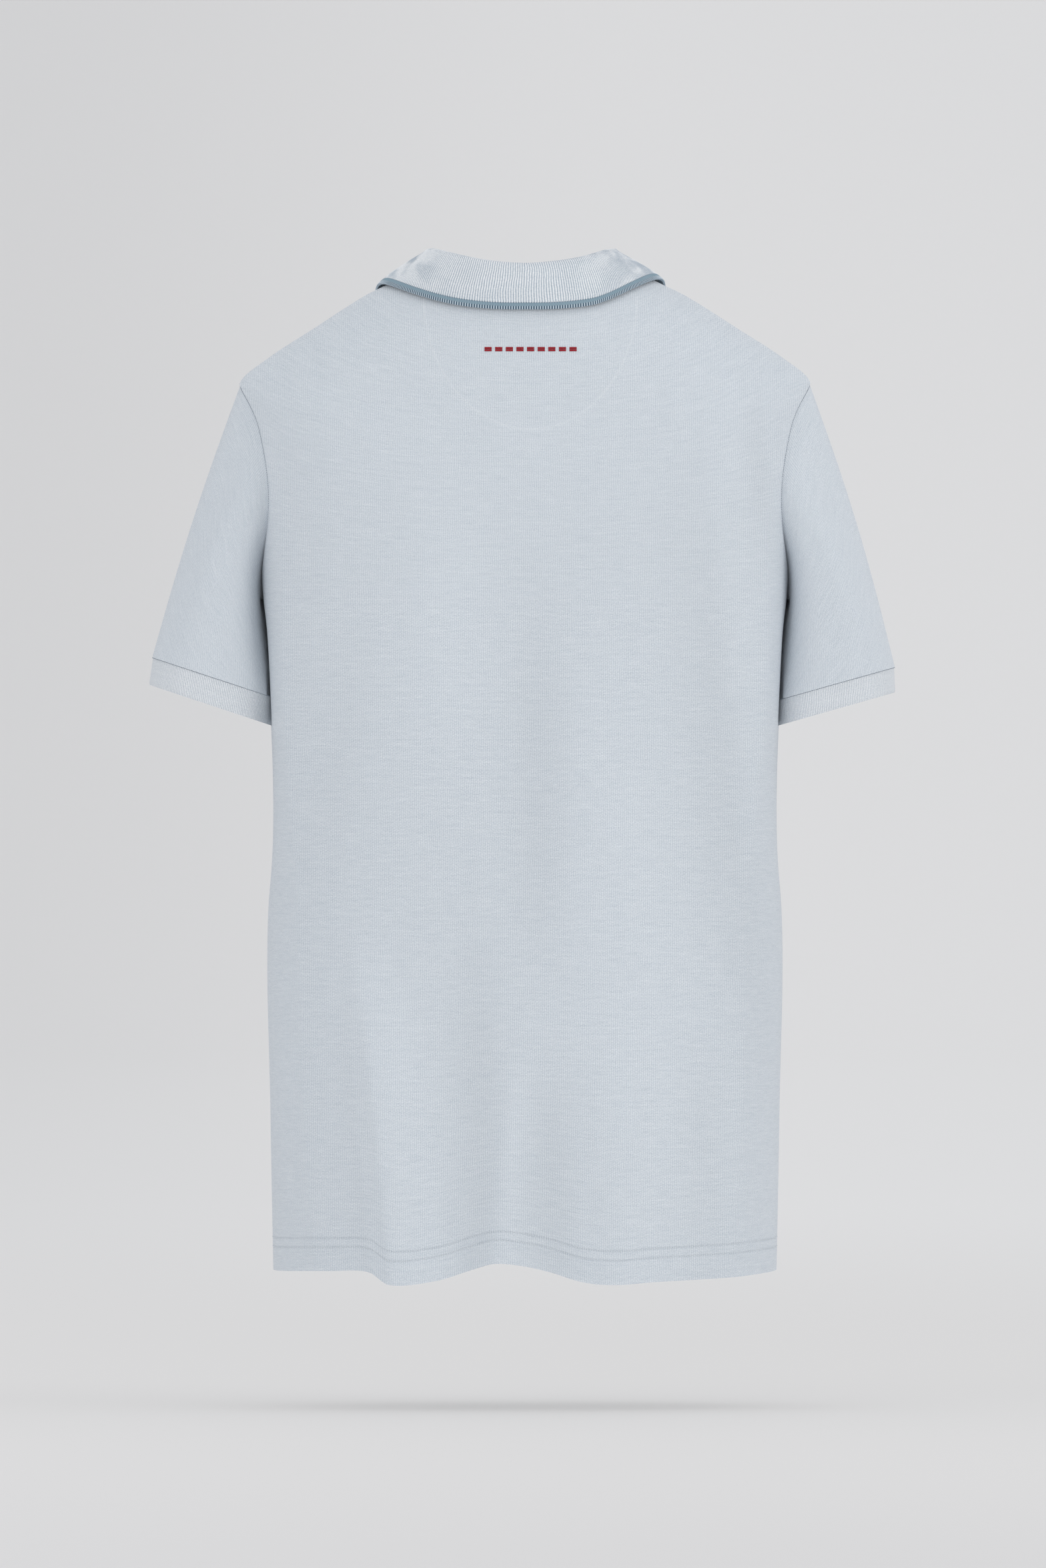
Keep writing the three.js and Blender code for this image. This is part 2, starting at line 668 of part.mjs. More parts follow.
// Placket: a strip over the slit and one behind it
function placketStrip(out, wall) {
  const across = 4;
  const along = 9;
  const grid = [];
  for (let i = 0; i <= across; i += 1) {
    const x = PLACKET_HALF_WIDTH * ((2 * i) / across - 1);
    const column = [];
    for (let j = 0; j <= along; j += 1) {
      const up = PLACKET_LOW_UP + (NECK_UP - 1 - PLACKET_LOW_UP) * (j / along);
      const turn = Math.PI * 1.5 + Math.asin(x / through(RINGS, 'up', 'halfX', up));
      column.push(bodyOff(turn, up, out));
    }
    grid.push(column);
  }
  return shell(grid, wall);
}
const placketOut = SEAM_GAP + 0.5 + LAID_WALL;
addPiece('placket_top', placketStrip(placketOut, LAID_WALL), BODY_COLOUR, 0.95);
addPiece('placket_under', placketStrip(-WALL - SEAM_GAP - 0.5, LAID_WALL), BODY_COLOUR, 0.95);

// Buttons, fastened, lying on the placket
BUTTON_UPS.forEach((up, k) => {
  const profile = [
    new THREE.Vector2(0, 0),
    new THREE.Vector2(BUTTON_RADIUS - 0.7, 0),
    new THREE.Vector2(BUTTON_RADIUS, 0.8),
    new THREE.Vector2(BUTTON_RADIUS - 0.3, BUTTON_THICK),
    new THREE.Vector2(BUTTON_RADIUS - 1.4, BUTTON_THICK),
    new THREE.Vector2(BUTTON_RADIUS - 2, BUTTON_THICK - 0.7),
    new THREE.Vector2(0, BUTTON_THICK - 0.7),
  ];
  const normal = bodyNormal(Math.PI * 1.5, up);
  const seat = bodyOff(Math.PI * 1.5, up, placketOut + SEAM_GAP + 0.3);
  const button = addPiece(`button_${k + 1}`, new THREE.LatheGeometry(profile, 14), BUTTON_COLOUR, 0.35);
  button.quaternion.setFromUnitVectors(new THREE.Vector3(0, 1, 0), normal);
  button.position.copy(seat);
});

// Collar: up from the neckline, over the fold and down outside
function collarColumn(off) {
  const size = Math.abs(off);
  const side = Math.sign(off);
  const turn = Math.PI / 2 - off;
  const row = (column) => through(COLLAR, 'off', column, size);
  const base = bodyOff(turn, NECK_UP, -WALL / 2);
  const climb = bodyPoint(turn, NECK_UP).sub(bodyPoint(turn, NECK_UP - 2)).normalize();
  base.addScaledVector(climb, SEAM_GAP * 2);
  const outward = new THREE.Vector3(base.x, base.y, 0).normalize();
  const lift = new THREE.Vector3(0, 0, 1);
  const foldAt = base.clone().addScaledVector(outward, row('foldOut')).addScaledVector(lift, row('foldUp'));
  const edgeTurnAt = turn + side * row('edgeShift');
  const edge = bodyOff(edgeTurnAt, row('edgeUp'), COLLAR_LIFT);
  const toRight = ease(35, 75, -foldAt.x);
  const toLeft = ease(35, 75, foldAt.x);
  const edgeTuck = EDGE_TUCK.right * toRight - EDGE_TUCK.left * toLeft;
  foldAt.x += COLLAR_RIGHT_TUCK * toRight;
  edge.x += edgeTuck;
  edge.z += Math.abs(edgeTuck) * EDGE_TUCK_SLOPE;
  const loose = edge.clone().sub(foldAt);
  const points = [];
  const standAt = (t) => base.clone().lerp(foldAt, t);
  points.push(standAt(0));
  points.push(standAt(0.45));
  points.push(standAt(0.88));
  points.push(foldAt.clone().addScaledVector(outward, 1.2).addScaledVector(lift, -0.1));
  const fallStart = foldAt.clone().addScaledVector(outward, 4.2).addScaledVector(lift, -2.6);
  for (const t of [0, 0.3, 0.62, 0.84, 1]) {
    const bow = Math.sin(Math.PI * t) * (1.5 + loose.length() * 0.03);
    points.push(fallStart.clone().lerp(edge, t).addScaledVector(outward, bow));
  }
  return points;
}

const collarGrid = [];
for (let i = 0; i <= COLLAR_COLUMNS; i += 1) {
  const off = COLLAR_END_TURN * ((2 * i) / COLLAR_COLUMNS - 1);
  collarGrid.push(collarColumn(off));
}
const collarMiddle = collarGrid;
const collarOuter = collarMiddle.map((column, i) => column.map((point, j) => {
  const before = collarMiddle[Math.max(i - 1, 0)][j];
  const after = collarMiddle[Math.min(i + 1, COLLAR_COLUMNS)][j];
  const low = column[Math.max(j - 1, 0)];
  const high = column[Math.min(j + 1, column.length - 1)];
  const across = after.clone().sub(before);
  const along = high.clone().sub(low);
  const out = across.cross(along).normalize();
  if (j === 0) {
    const off = COLLAR_END_TURN * ((2 * i) / COLLAR_COLUMNS - 1);
    out.copy(bodyNormal(Math.PI / 2 - off, NECK_UP)).negate();
  }
  return point.clone().addScaledVector(out, BAND_WALL / 2);
}));
addPiece('collar', shell(collarOuter, BAND_WALL, {
  inward: (i, j) => collarMiddle[i][j].clone().sub(collarOuter[i][j]).multiplyScalar(2),
}), COLLAR_COLOUR, 0.9);

export default shirt;
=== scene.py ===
# A terry polo shirt, filled out, seen from the back over a pale studio floor.
# Sizes in the tables are millimetres; meshes are made in metres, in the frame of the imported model.
import math
from functools import partial

import bpy
import numpy as np
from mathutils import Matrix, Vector


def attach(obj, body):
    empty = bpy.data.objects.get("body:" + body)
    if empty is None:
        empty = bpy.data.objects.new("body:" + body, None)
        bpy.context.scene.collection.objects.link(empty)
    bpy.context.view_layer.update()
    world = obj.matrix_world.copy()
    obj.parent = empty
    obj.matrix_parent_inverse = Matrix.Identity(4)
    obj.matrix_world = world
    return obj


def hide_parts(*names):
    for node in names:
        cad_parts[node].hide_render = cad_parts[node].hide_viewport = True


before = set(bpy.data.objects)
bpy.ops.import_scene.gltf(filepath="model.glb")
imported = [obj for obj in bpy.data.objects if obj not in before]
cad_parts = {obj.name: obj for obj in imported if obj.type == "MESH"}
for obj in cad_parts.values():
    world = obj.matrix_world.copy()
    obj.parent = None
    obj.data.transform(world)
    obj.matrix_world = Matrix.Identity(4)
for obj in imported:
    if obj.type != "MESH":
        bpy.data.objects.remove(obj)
scene = bpy.context.scene
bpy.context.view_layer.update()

MM = 0.001
TAU = 2 * math.pi

# Cloth
WALL = 2.0
CLOTH_WALL = 0.8 * WALL
BAND_WALL = 1.8
LAID_WALL = 1.6
PATCH_WALL = 1.0
SEAM_GAP = 0.3

# Heights up the panels, along the side from the hem
UNDERARM_UP = 482
TIP_UP = 640
NECK_UP = 782
UNDERARM_Z = -224

ARMHOLE_HALF_TURN = 0.5
ARMHOLE_BLUNTNESS = 0.5
SHOULDER_TILT = 0.4
NEST_Y = 4
NEST_SPREAD = 35

# Where the hem's waves end, where the shoulders' tilt sets in, and which folds reach the hem
HEM_WAVE_UP = 150
TILT_UPS = (560, 640)
TILT_X = (95, 150)
HEM_FOLD_Z = -700


def smooth(at, values, places):
    """A smooth curve through values, whose first axis runs along the knots in at."""
    last = len(at) - 1
    k = np.clip(np.searchsorted(at, places, side="left") - 1, 0, last - 1)
    before = np.maximum(np.arange(last + 1) - 1, 0)
    after = np.minimum(np.arange(last + 1) + 1, last)
    flat = (1,) * (values.ndim - 1)
    slope = (values[after] - values[before]) / (at[after] - at[before]).reshape(-1, *flat)
    run = np.reshape(at[k + 1] - at[k], np.shape(k) + flat)
    t = np.reshape(places - at[k], np.shape(k) + flat) / run
    t2 = t * t
    t3 = t2 * t
    start = (2 * t3 - 3 * t2 + 1) * values[k] + (t3 - 2 * t2 + t) * run * slope[k]
    end = (3 * t2 - 2 * t3) * values[k + 1] + (t3 - t2) * run * slope[k + 1]
    return start + end


class Table:
    """Rows with named columns, read as smooth curves along the first column."""

    def __init__(self, columns, rows):
        values = np.array(rows, dtype=float)
        self.at = values[:, 0]
        self.values = {name: values[:, k] for k, name in enumerate(columns)}

    def __call__(self, column, place):
        return smooth(self.at, self.values[column], np.clip(place, self.at[0], self.at[-1]))


# Rings round the body from hem to neckline
RINGS = Table(
    ("up", "half_x", "side_z", "back_y", "back_z", "front_y", "front_z", "square", "nest"),
    (
        (0, 181, -707, 103, -707, 103, -707, 2.8, 0),
        (110, 183, -597, 108, -597, 107, -597, 2.9, 0),
        (260, 184.5, -447, 113, -447, 110, -447, 2.9, 0),
        (350, 188, -357, 116, -357, 112, -357, 3, 16),
        (420, 192, -287, 118, -287, 113, -287, 3, 24),
        (455, 193, -252, 118, -252, 113, -254, 3, 19),
        (482, 193, -225, 118, -225, 113, -230, 3, 8),
        (560, 194, -149, 115, -167, 109, -186, 3, 0),
        (610, 194, -98, 110, -134, 103, -163, 2.9, -6),
        (640, 191, -70, 105, -112, 99, -148, 2.8, -14.5),
        (665, 179, -52, 100, -94, 95, -135, 2.7, -7),
        (700, 153, -30.5, 93, -68, 89, -117, 2.6, 0),
        (740, 117, -7.5, 83, -37, 81, -94, 2.4, 0),
        (765, 96, 3, 76, -18, 75, -80, 2.3, 0),
        (782, 84, 10, 71, -6, 70, -69, 2.2, 0),
    ),
)
HEM_Z = -707

# Lower edges of the hems, as a rise over the lowest ring
BACK_HEM = Table(
    ("x", "rise"),
    (
        (-185, 0), (-150, -4), (-93, -7), (-64, -9), (-41, -7), (-18, 0), (5, 5),
        (23, 6), (40, 1), (63, -6), (97, -9), (112, 0), (138, 0.5), (185, -0.5),
    ),
)
FRONT_HEM = Table(
    ("x", "rise"),
    (
        (-185, 0), (-128, -3), (-74, 4), (-30, 1), (20, 5),
        (48, -1), (84, -3), (132, 1.5), (185, -0.5),
    ),
)

# Long soft folds: top, low end, width to the left (+X) and to the right, and rise
BACK_FOLDS = (
    (118, -500, 96, -716, 9, 30, 10),
    (62, -150, 66, -360, 30, 30, 3),
    (40, -470, 40, -716, 16, 18, -5),
    (4, -560, 22, -716, 12, 14, 3.5),
    (-4, -230, -3, -490, 20, 24, -5),
    (-12, -570, -13, -716, 14, 18, -4.5),
    (-50, -300, -76, -690, 40, 42, 4.5),
    (-60, -540, -66, -716, 20, 24, 4),
    (-114, -130, -168, -560, 30, 16, -6),
    (-166, -70, -172, -190, 10, 9, -4),
    (-128, -560, -130, -716, 16, 20, -3),
    (128, -240, 150, -430, 16, 20, -2.2),
)
FRONT_FOLDS = (
    (-96, -520, -82, -716, 18, 14, 5),
    (-50, -610, -44, -716, 14, 16, -4),
    (20, -300, 30, -500, 24, 20, -3),
    (30, -560, 34, -716, 18, 22, 4.5),
    (84, -590, 80, -716, 13, 15, -4),
    (126, -220, 152, -440, 18, 18, -2.8),
    (-122, -200, -150, -400, 16, 20, -2.4),
)


def ease(low, high, at):
    t = np.clip((at - low) / (high - low), 0, 1)
    return t * t * (3 - 2 * t)


def fold_rise(folds, x, z):
    rise = np.zeros_like(x)
    for top_x, top_z, low_x, low_z, left, right, height in folds:
        t = (top_z - z) / (top_z - low_z)
        line_x = top_x + (low_x - top_x) * t
        width = np.where(x > line_x, left, right)
        fade = ease(-0.25, 0.45, t)
        if low_z > HEM_FOLD_Z:
            fade = fade * (1 - ease(0.6, 1.25, t))
        inside = (t > -0.3) & (t < 1.3)
        rise += np.where(inside, height * fade * np.exp(-(((x - line_x) / width) ** 2)), 0)
    return rise


def body_point(turn, up):
    """The outer face of the body; turn 0 is the left side, a quarter turn the back."""
    turn, up = np.broadcast_arrays(np.asarray(turn, float), np.asarray(up, float))
    c = np.cos(turn)
    s = np.sin(turn)
    square = RINGS("square", up)
    pull = (np.abs(c) ** square + np.abs(s) ** square) ** (-1 / square)
    back = s >= 0
    depth = np.where(back, RINGS("back_y", up), RINGS("front_y", up))
    side_z = RINGS("side_z", up)
    middle_z = np.where(back, RINGS("back_z", up), RINGS("front_z", up))
    x = RINGS("half_x", up) * c * pull
    y = depth * s * pull
    z = side_z + (middle_z - side_z) * (s * pull) ** 2
    x = x - np.sign(c) * RINGS("nest", up) * np.exp(-(((y - NEST_Y) / NEST_SPREAD) ** 2))
    away = ease(0, 0.45, np.abs(s * pull))
    hem = np.where(back, BACK_HEM("rise", x), FRONT_HEM("rise", x))
    z = z + hem * (1 - ease(0, HEM_WAVE_UP, up)) * away
    z = z - SHOULDER_TILT * (x / 200) * ease(*TILT_UPS, up) * ease(*TILT_X, np.abs(x))
    rise = np.where(back, fold_rise(BACK_FOLDS, x, z), -fold_rise(FRONT_FOLDS, x, z)) * away
    return np.stack([x, y + rise, z], axis=-1)


def unit(vectors):
    return vectors / np.linalg.norm(vectors, axis=-1, keepdims=True)


def body_normal(turn, up):
    across = body_point(turn + 0.004, up) - body_point(turn - 0.004, up)
    upper = np.minimum(up + 1, NECK_UP)
    lower = np.maximum(up - 1, 0)
    along = body_point(turn, upper) - body_point(turn, lower)
    return unit(np.cross(across, along))


def body_off(turn, up, out):
    return body_point(turn, up) + body_normal(turn, up) * np.asarray(out)[..., None]


def back_at(x, z):
    """The turn and height of the back at a seen place: a rough guess, drawn closer in steps."""
    turn = np.pi / 2 - x / 190
    up = np.where(z > -225, 482 + (z + 225) * 1.36, z - HEM_Z)
    for _ in range(14):
        here = body_point(turn, up)
        by_turn = (body_point(turn + 0.002, up) - here) / 0.002
        by_up = (body_point(turn, up - 0.5) - here) / -0.5
        dx = x - here[..., 0]
        dz = z - here[..., 2]
        det = by_turn[..., 0] * by_up[..., 2] - by_up[..., 0] * by_turn[..., 2]
        turn = turn + (dx * by_up[..., 2] - dz * by_up[..., 0]) / det
        up = up + (by_turn[..., 0] * dz - by_turn[..., 2] * dx) / det
        up = np.clip(up, 1, NECK_UP)
    return turn, up


def armhole_turn(up):
    q = np.clip((up - UNDERARM_UP) / (TIP_UP - UNDERARM_UP), 0, 1)
    return ARMHOLE_HALF_TURN * np.sin(np.pi * q) ** ARMHOLE_BLUNTNESS


def edge_turn(up):
    return armhole_turn(up) + SEAM_GAP * 0.5 / RINGS("front_y", up)


# Meshes

def grid_normals(grid, loop):
    if loop:
        across = np.roll(grid, -1, axis=0) - np.roll(grid, 1, axis=0)
    else:
        across = np.gradient(grid, axis=0)
    along = np.gradient(grid, axis=1)
    return unit(np.cross(across, along))


def cell_corners(width, rows, cells):
    """The corners of each cell of a grid, whose last column may close onto the first."""
    index = np.arange(width * rows).reshape(width, rows)
    here = index[:cells]
    after = index[(np.arange(cells) + 1) % width]
    return here[:, :-1], after[:, :-1], after[:, 1:], here[:, 1:]


def walled(corners, present, open_sides, step):
    """Outer cells, inner cells a step further on, and the rims between them."""
    a, b, c, d = corners
    sets = [np.stack([a, b, c, d], axis=-1)[present], np.stack([a, d, c, b], axis=-1)[present] + step]
    for p, q, edge in zip((a, b, c, d), (b, c, d, a), open_sides):
        sets.append(np.stack([q, p, p + step, q + step], axis=-1)[edge])
    return np.concatenate(sets)


def shell(name, grid, wall, uv, material, loop=False, mask=None, inward=None):
    """A closed cloth shell from a grid of outer points in millimetres, with its own UV map."""
    columns, rows = grid.shape[:2]
    if inward is None:
        inward = -wall * grid_normals(grid, loop)
    points = np.concatenate([grid.reshape(-1, 3), (grid + inward).reshape(-1, 3)])
    cells = columns if loop else columns - 1
    present = np.ones((cells, rows - 1), bool) if mask is None else mask
    padded = np.zeros((cells + 2, rows + 1), bool)
    padded[1:-1, 1:-1] = present
    if loop:
        padded[0] = padded[-2]
        padded[-1] = padded[1]
    beside = (padded[1:-1, :-2], padded[2:, 1:-1], padded[1:-1, 2:], padded[:-2, 1:-1])
    open_sides = [present & ~other for other in beside]
    faces = walled(cell_corners(columns, rows, cells), present, open_sides, columns * rows)
    corners = walled(cell_corners(len(uv), rows, cells), present, open_sides, 0)
    used = np.unique(faces)
    lookup = np.full(len(points), -1)
    lookup[used] = np.arange(len(used))
    uv_corners = uv.reshape(-1, 2)[corners.reshape(-1)]
    return make_mesh(name, points[used] * MM, lookup[faces], uv_corners * MM, material)


def put(name, data):
    """A new object in the scene."""
    thing = bpy.data.objects.new(name, data)
    scene.collection.objects.link(thing)
    return thing


def make_mesh(name, points, faces, corners, material):
    mesh = bpy.data.meshes.new(name)
    mesh.vertices.add(len(points))
    mesh.vertices.foreach_set("co", points.astype(np.float32).reshape(-1))
    mesh.loops.add(faces.size)
    mesh.loops.foreach_set("vertex_index", faces.astype(np.int32).reshape(-1))
    mesh.polygons.add(len(faces))
    starts = np.arange(len(faces), dtype=np.int32) * faces.shape[1]
    mesh.polygons.foreach_set("loop_start", starts)
    layer = mesh.uv_layers.new(name="cloth")
    layer.data.foreach_set("uv", corners.astype(np.float32).reshape(-1))
    mesh.update(calc_edges=True)
    mesh.validate()
    mesh.shade_smooth()
    mesh.set_sharp_from_angle(angle=math.radians(50))
    mesh.materials.append(material)
    return put(name, mesh)


def spread(low, high, count, crowd):
    """Places from low to high, crowded toward both ends."""
    t = np.linspace(0, 1, count)
    bent = (1 - np.cos(np.pi * t)) / 2
    return low + (high - low) * ((1 - crowd) * t + crowd * bent)


# Node trees and materials

def feed(tree, inputs, values):
    """Gives each input its value: a number, a colour, or the socket that feeds it."""
    for label, value in values.items():
        if isinstance(value, bpy.types.NodeSocket):
            tree.links.new(value, inputs[label])
        else:
            inputs[label].default_value = value


def add_node(tree, kind, values=(), **settings):
    node = tree.nodes.new(kind)
    for label, setting in settings.items():
        setattr(node, label, setting)
    feed(tree, node.inputs, values if isinstance(values, dict) else dict(enumerate(values)))
    return node


def add_sockets(tree, way, kind, *labels):
    for label in labels:
        tree.interface.new_socket(label, in_out=way, socket_type="NodeSocket" + kind)


def math_node(tree, operation, *values):
    return add_node(tree, "ShaderNodeMath", values, operation=operation).outputs[0]


def vector_node(tree, operation, values):
    return add_node(tree, "ShaderNodeVectorMath", values, operation=operation).outputs


def mix_colour(tree, factor, base, tint):
    """Turns a colour toward a fixed one."""
    node = add_node(tree, "ShaderNodeMix", data_type="RGBA")
    sockets = {socket.identifier: socket for socket in (*node.inputs, *node.outputs)}
    feed(tree, sockets, {"Factor_Float": factor, "A_Color": base, "B_Color": (*tint, 1)})
    return sockets["Result_Color"]


def ramp(tree, value, low, high, kind="SMOOTHSTEP", ends=(0, 1)):
    """Turns a value into a share that runs from one end to the other between low and high."""
    node = add_node(tree, "ShaderNodeMapRange", interpolation_type=kind)
    labels = ("Value", "From Min", "From Max", "To Min", "To Max")
    feed(tree, node.inputs, dict(zip(labels, (value, low, high, *ends))))
    return node.outputs["Result"]


def with_parts(tree, place):
    return place, add_node(tree, "ShaderNodeSeparateXYZ", (place,)).outputs


def cloth_place(tree):
    """The place on the cloth, in metres across and along it, and its parts."""
    return with_parts(tree, add_node(tree, "ShaderNodeUVMap", uv_map="cloth").outputs["UV"])


def object_place(tree):
    """The place in space, in metres, and its parts."""
    return with_parts(tree, add_node(tree, "ShaderNodeTexCoord").outputs["Object"])


def wave_height(tree, coordinate, pitch, sharp):
    """A ridge every pitch along a coordinate, from 0 in the groove to 1 on the ridge."""
    turns = math_node(tree, "DIVIDE", coordinate, pitch)
    swing = math_node(tree, "COSINE", math_node(tree, "MULTIPLY", turns, TAU))
    return math_node(tree, "POWER", math_node(tree, "MULTIPLY_ADD", swing, 0.5, 0.5), sharp)


def near_line(tree, distance, width):
    """A soft line: 1 where the distance is nothing, falling away over its width."""
    share = math_node(tree, "DIVIDE", distance, width)
    square = math_node(tree, "MULTIPLY", share, share)
    wide = math_node(tree, "ADD", square, 1.0)
    return math_node(tree, "DIVIDE", 1.0, math_node(tree, "MULTIPLY", wide, wide))


# Pitches in metres, then depths and shades as shares
KNIT_VALUES = (
    "Wale pitch", "Course pitch", "Wale depth", "Course depth", "Nap",
    "Groove shade", "Course shade", "Slub", "Bump",
)


def build_knit_group():
    """Upright wales of small loops, staggered from wale to wale, with an uneven slubbed yarn."""
    group = bpy.data.node_groups.new("knit surface", "ShaderNodeTree")
    add_sockets(group, "INPUT", "Float", *KNIT_VALUES)
    add_sockets(group, "INPUT", "Color", "Colour")
    add_sockets(group, "OUTPUT", "Color", "Colour")
    add_sockets(group, "OUTPUT", "Vector", "Normal")
    calc = partial(math_node, group)
    given = add_node(group, "NodeGroupInput").outputs
    cloth, parts = cloth_place(group)

    def noise(scale, detail, stretch=None):
        place = cloth if stretch is None else vector_node(group, "MULTIPLY", (cloth, stretch))[0]
        values = {"Scale": scale, "Detail": detail, "Vector": place}
        return add_node(group, "ShaderNodeTexNoise", values).outputs["Fac"]

    shift = calc("MULTIPLY_ADD", noise(55, 2), 0.0022, parts["X"])
    wale = wave_height(group, shift, given["Wale pitch"], 0.8)
    wale_number = calc("ROUND", calc("DIVIDE", shift, given["Wale pitch"]))
    course_turns = calc("DIVIDE", parts["Y"], given["Course pitch"])
    staggered = calc("ADD", course_turns, calc("MULTIPLY", wale_number, 0.5))
    course = wave_height(group, staggered, 1.0, 1.0)
    wales = calc("MULTIPLY", wale, given["Wale depth"])
    courses = calc("MULTIPLY", course, given["Course depth"])
    naps = calc("MULTIPLY", noise(1500, 2), given["Nap"])
    height = calc("ADD", calc("ADD", wales, courses), naps)
    grooves = calc("MULTIPLY", calc("SUBTRACT", 1.0, wale), given["Groove shade"])
    gaps = calc("MULTIPLY", calc("SUBTRACT", 1.0, course), given["Course shade"])
    slubs = calc("MULTIPLY", calc("SUBTRACT", 0.5, noise(1, 3, (85, 900, 1))), given["Slub"])
    clouds = calc("MULTIPLY_ADD", noise(1, 5, (26, 330, 1)), 0.1, -0.05)
    fibres = calc("MULTIPLY_ADD", noise(1000, 1), 0.3, -0.15)
    dark = calc("ADD", grooves, gaps)
    for part in (slubs, clouds, fibres):
        dark = calc("ADD", dark, part)
    cool = vector_node(group, "SCALE", {0: (1.14, 1.0, 0.86), "Scale": dark})[0]
    keep = vector_node(group, "SUBTRACT", ((1, 1, 1), cool))[0]
    tint = vector_node(group, "MULTIPLY", (given["Colour"], keep))[0]
    relief = {"Distance": 0.0005, "Strength": given["Bump"], "Height": height}
    bump = add_node(group, "ShaderNodeBump", relief).outputs["Normal"]
    add_node(group, "NodeGroupOutput", {"Colour": tint, "Normal": bump})
    return group


KNIT_GROUP = build_knit_group()


def new_material(name, roughness, sheen=0.0):
    """A material, its node tree and the inputs of its shader."""
    material = bpy.data.materials.new(name)
    material.use_nodes = True
    tree = material.node_tree
    shader = tree.nodes["Principled BSDF"].inputs
    surface = {"Roughness": roughness, "Sheen Weight": sheen, "Sheen Roughness": 0.45}
    feed(tree, shader, {**surface, "Specular IOR Level": 0.25})
    return material, tree, shader


def add_knit(tree, colour, pitches, depths, shades, bump):
    """The knit surface in a material: pitches in millimetres, depths and shades as shares."""
    numbers = (pitches[0] * MM, pitches[1] * MM, *depths, *shades, bump)
    values = {**dict(zip(KNIT_VALUES, numbers)), "Colour": (*colour, 1)}
    return add_node(tree, "ShaderNodeGroup", values, node_tree=KNIT_GROUP).outputs


def knit_material(name, *knit_values):
    material, tree, shader = new_material(name, 0.92, 0.15)
    knit = add_knit(tree, *knit_values)
    feed(tree, shader, {"Base Color": knit["Colour"], "Normal": knit["Normal"]})
    return material


def moon_line(tree):
    """A soft line along the sewn edge of the neck patch, below its straight top."""
    _, spot = object_place(tree)
    calc = partial(math_node, tree)
    shares = []
    for axis, middle, reach in (("X", PATCH_X, PATCH_HALF_WIDTH), ("Z", PATCH_TOP_Z, PATCH_DEPTH)):
        off = calc("SUBTRACT", spot[axis], middle * MM)
        share = calc("DIVIDE", off, (reach - MOON_ROW_INSET) * MM)
        shares.append(calc("MULTIPLY", share, share))
    radius = calc("SQRT", calc("ADD", *shares))
    off_line = calc("MULTIPLY", calc("SUBTRACT", radius, 1.0), PATCH_HALF_WIDTH * MM)
    below = calc("LESS_THAN", spot["Z"], PATCH_TOP_Z * MM)
    return calc("MULTIPLY", near_line(tree, off_line, LINE_WIDTH), below)


def sewn_material(name, *knit_values, moon=False):
    """The knit with both hem rows pressed in, painted shade in the folds' hollows and painted light on
    their ridges, and on the back the pale edge of the neck patch.
    """
    material, tree, shader = new_material(name, 0.92, 0.15)
    calc = partial(math_node, tree)
    knit = add_knit(tree, *knit_values)
    _, cloth = cloth_place(tree)
    from_rows = [calc("SUBTRACT", cloth["Y"], row * MM) for row in HEM_ROWS]
    rows = calc("ADD", *[near_line(tree, distance, LINE_WIDTH) for distance in from_rows])
    holes = wave_height(tree, cloth["X"], HEM_PITCH * MM, 2.5)
    shade = calc("MULTIPLY", calc("MULTIPLY", rows, holes), HEM_SHADE)
    colour = mix_colour(tree, shade, knit["Colour"], LINE_SHADE)
    if moon:
        colour = mix_colour(tree, calc("MULTIPLY", moon_line(tree), MOON_SHARE), colour, MOON_LIGHT)
    # Painted shade and light from each fold's rise: darker in hollows, a little lighter on ridges
    rise = add_node(tree, "ShaderNodeAttribute", attribute_name="fold_rise").outputs["Fac"]
    tone = calc("MULTIPLY_ADD", calc("MINIMUM", rise, PAINTED_LIGHT_RISE_LIMIT), PAINTED_FOLD_SHADE, 1)
    painted_fold_colour = vector_node(tree, "SCALE", {0: colour, "Scale": tone})[0]
    relief = {"Distance": 0.0012, "Strength": 0.35, "Height": rows, "Normal": knit["Normal"]}
    pressed = add_node(tree, "ShaderNodeBump", relief, invert=True).outputs["Normal"]
    feed(tree, shader, {"Base Color": painted_fold_colour, "Normal": pressed})
    return material


BODY_COLOUR = (0.705, 0.745, 0.785)
RIB_COLOUR = (0.83, 0.855, 0.88)
COLLAR_COLOUR = (0.86, 0.88, 0.90)
PATCH_COLOUR = (0.70, 0.735, 0.77)
TIPPING_COLOUR = (0.25, 0.35, 0.42)
SLOT_COLOUR = (0.035, 0.075, 0.12)
SLOT_THREAD = (0.62, 0.70, 0.77)
LINE_SHADE = (0.42, 0.48, 0.54)
MOON_LIGHT = (0.84, 0.87, 0.90)

# The patch sewn inside the neck, which both the cloth over it and its own piece follow
PATCH_X = -4
PATCH_TOP_Z = -8
PATCH_HALF_WIDTH = 78
PATCH_DEPTH = 98
MOON_ROW_INSET = 1.5
MOON_SHARE = 0.25
HEM_ROWS = (17, 23.5)
HEM_PITCH = 1.7
HEM_SHADE = 0.5
LINE_WIDTH = 0.0009
# Painted shade and light for each millimetre of a fold's rise, up to the highest rise that still counts:
# hollows darker, ridges lighter
PAINTED_FOLD_SHADE = 0.009
PAINTED_LIGHT_RISE_LIMIT = 2.5

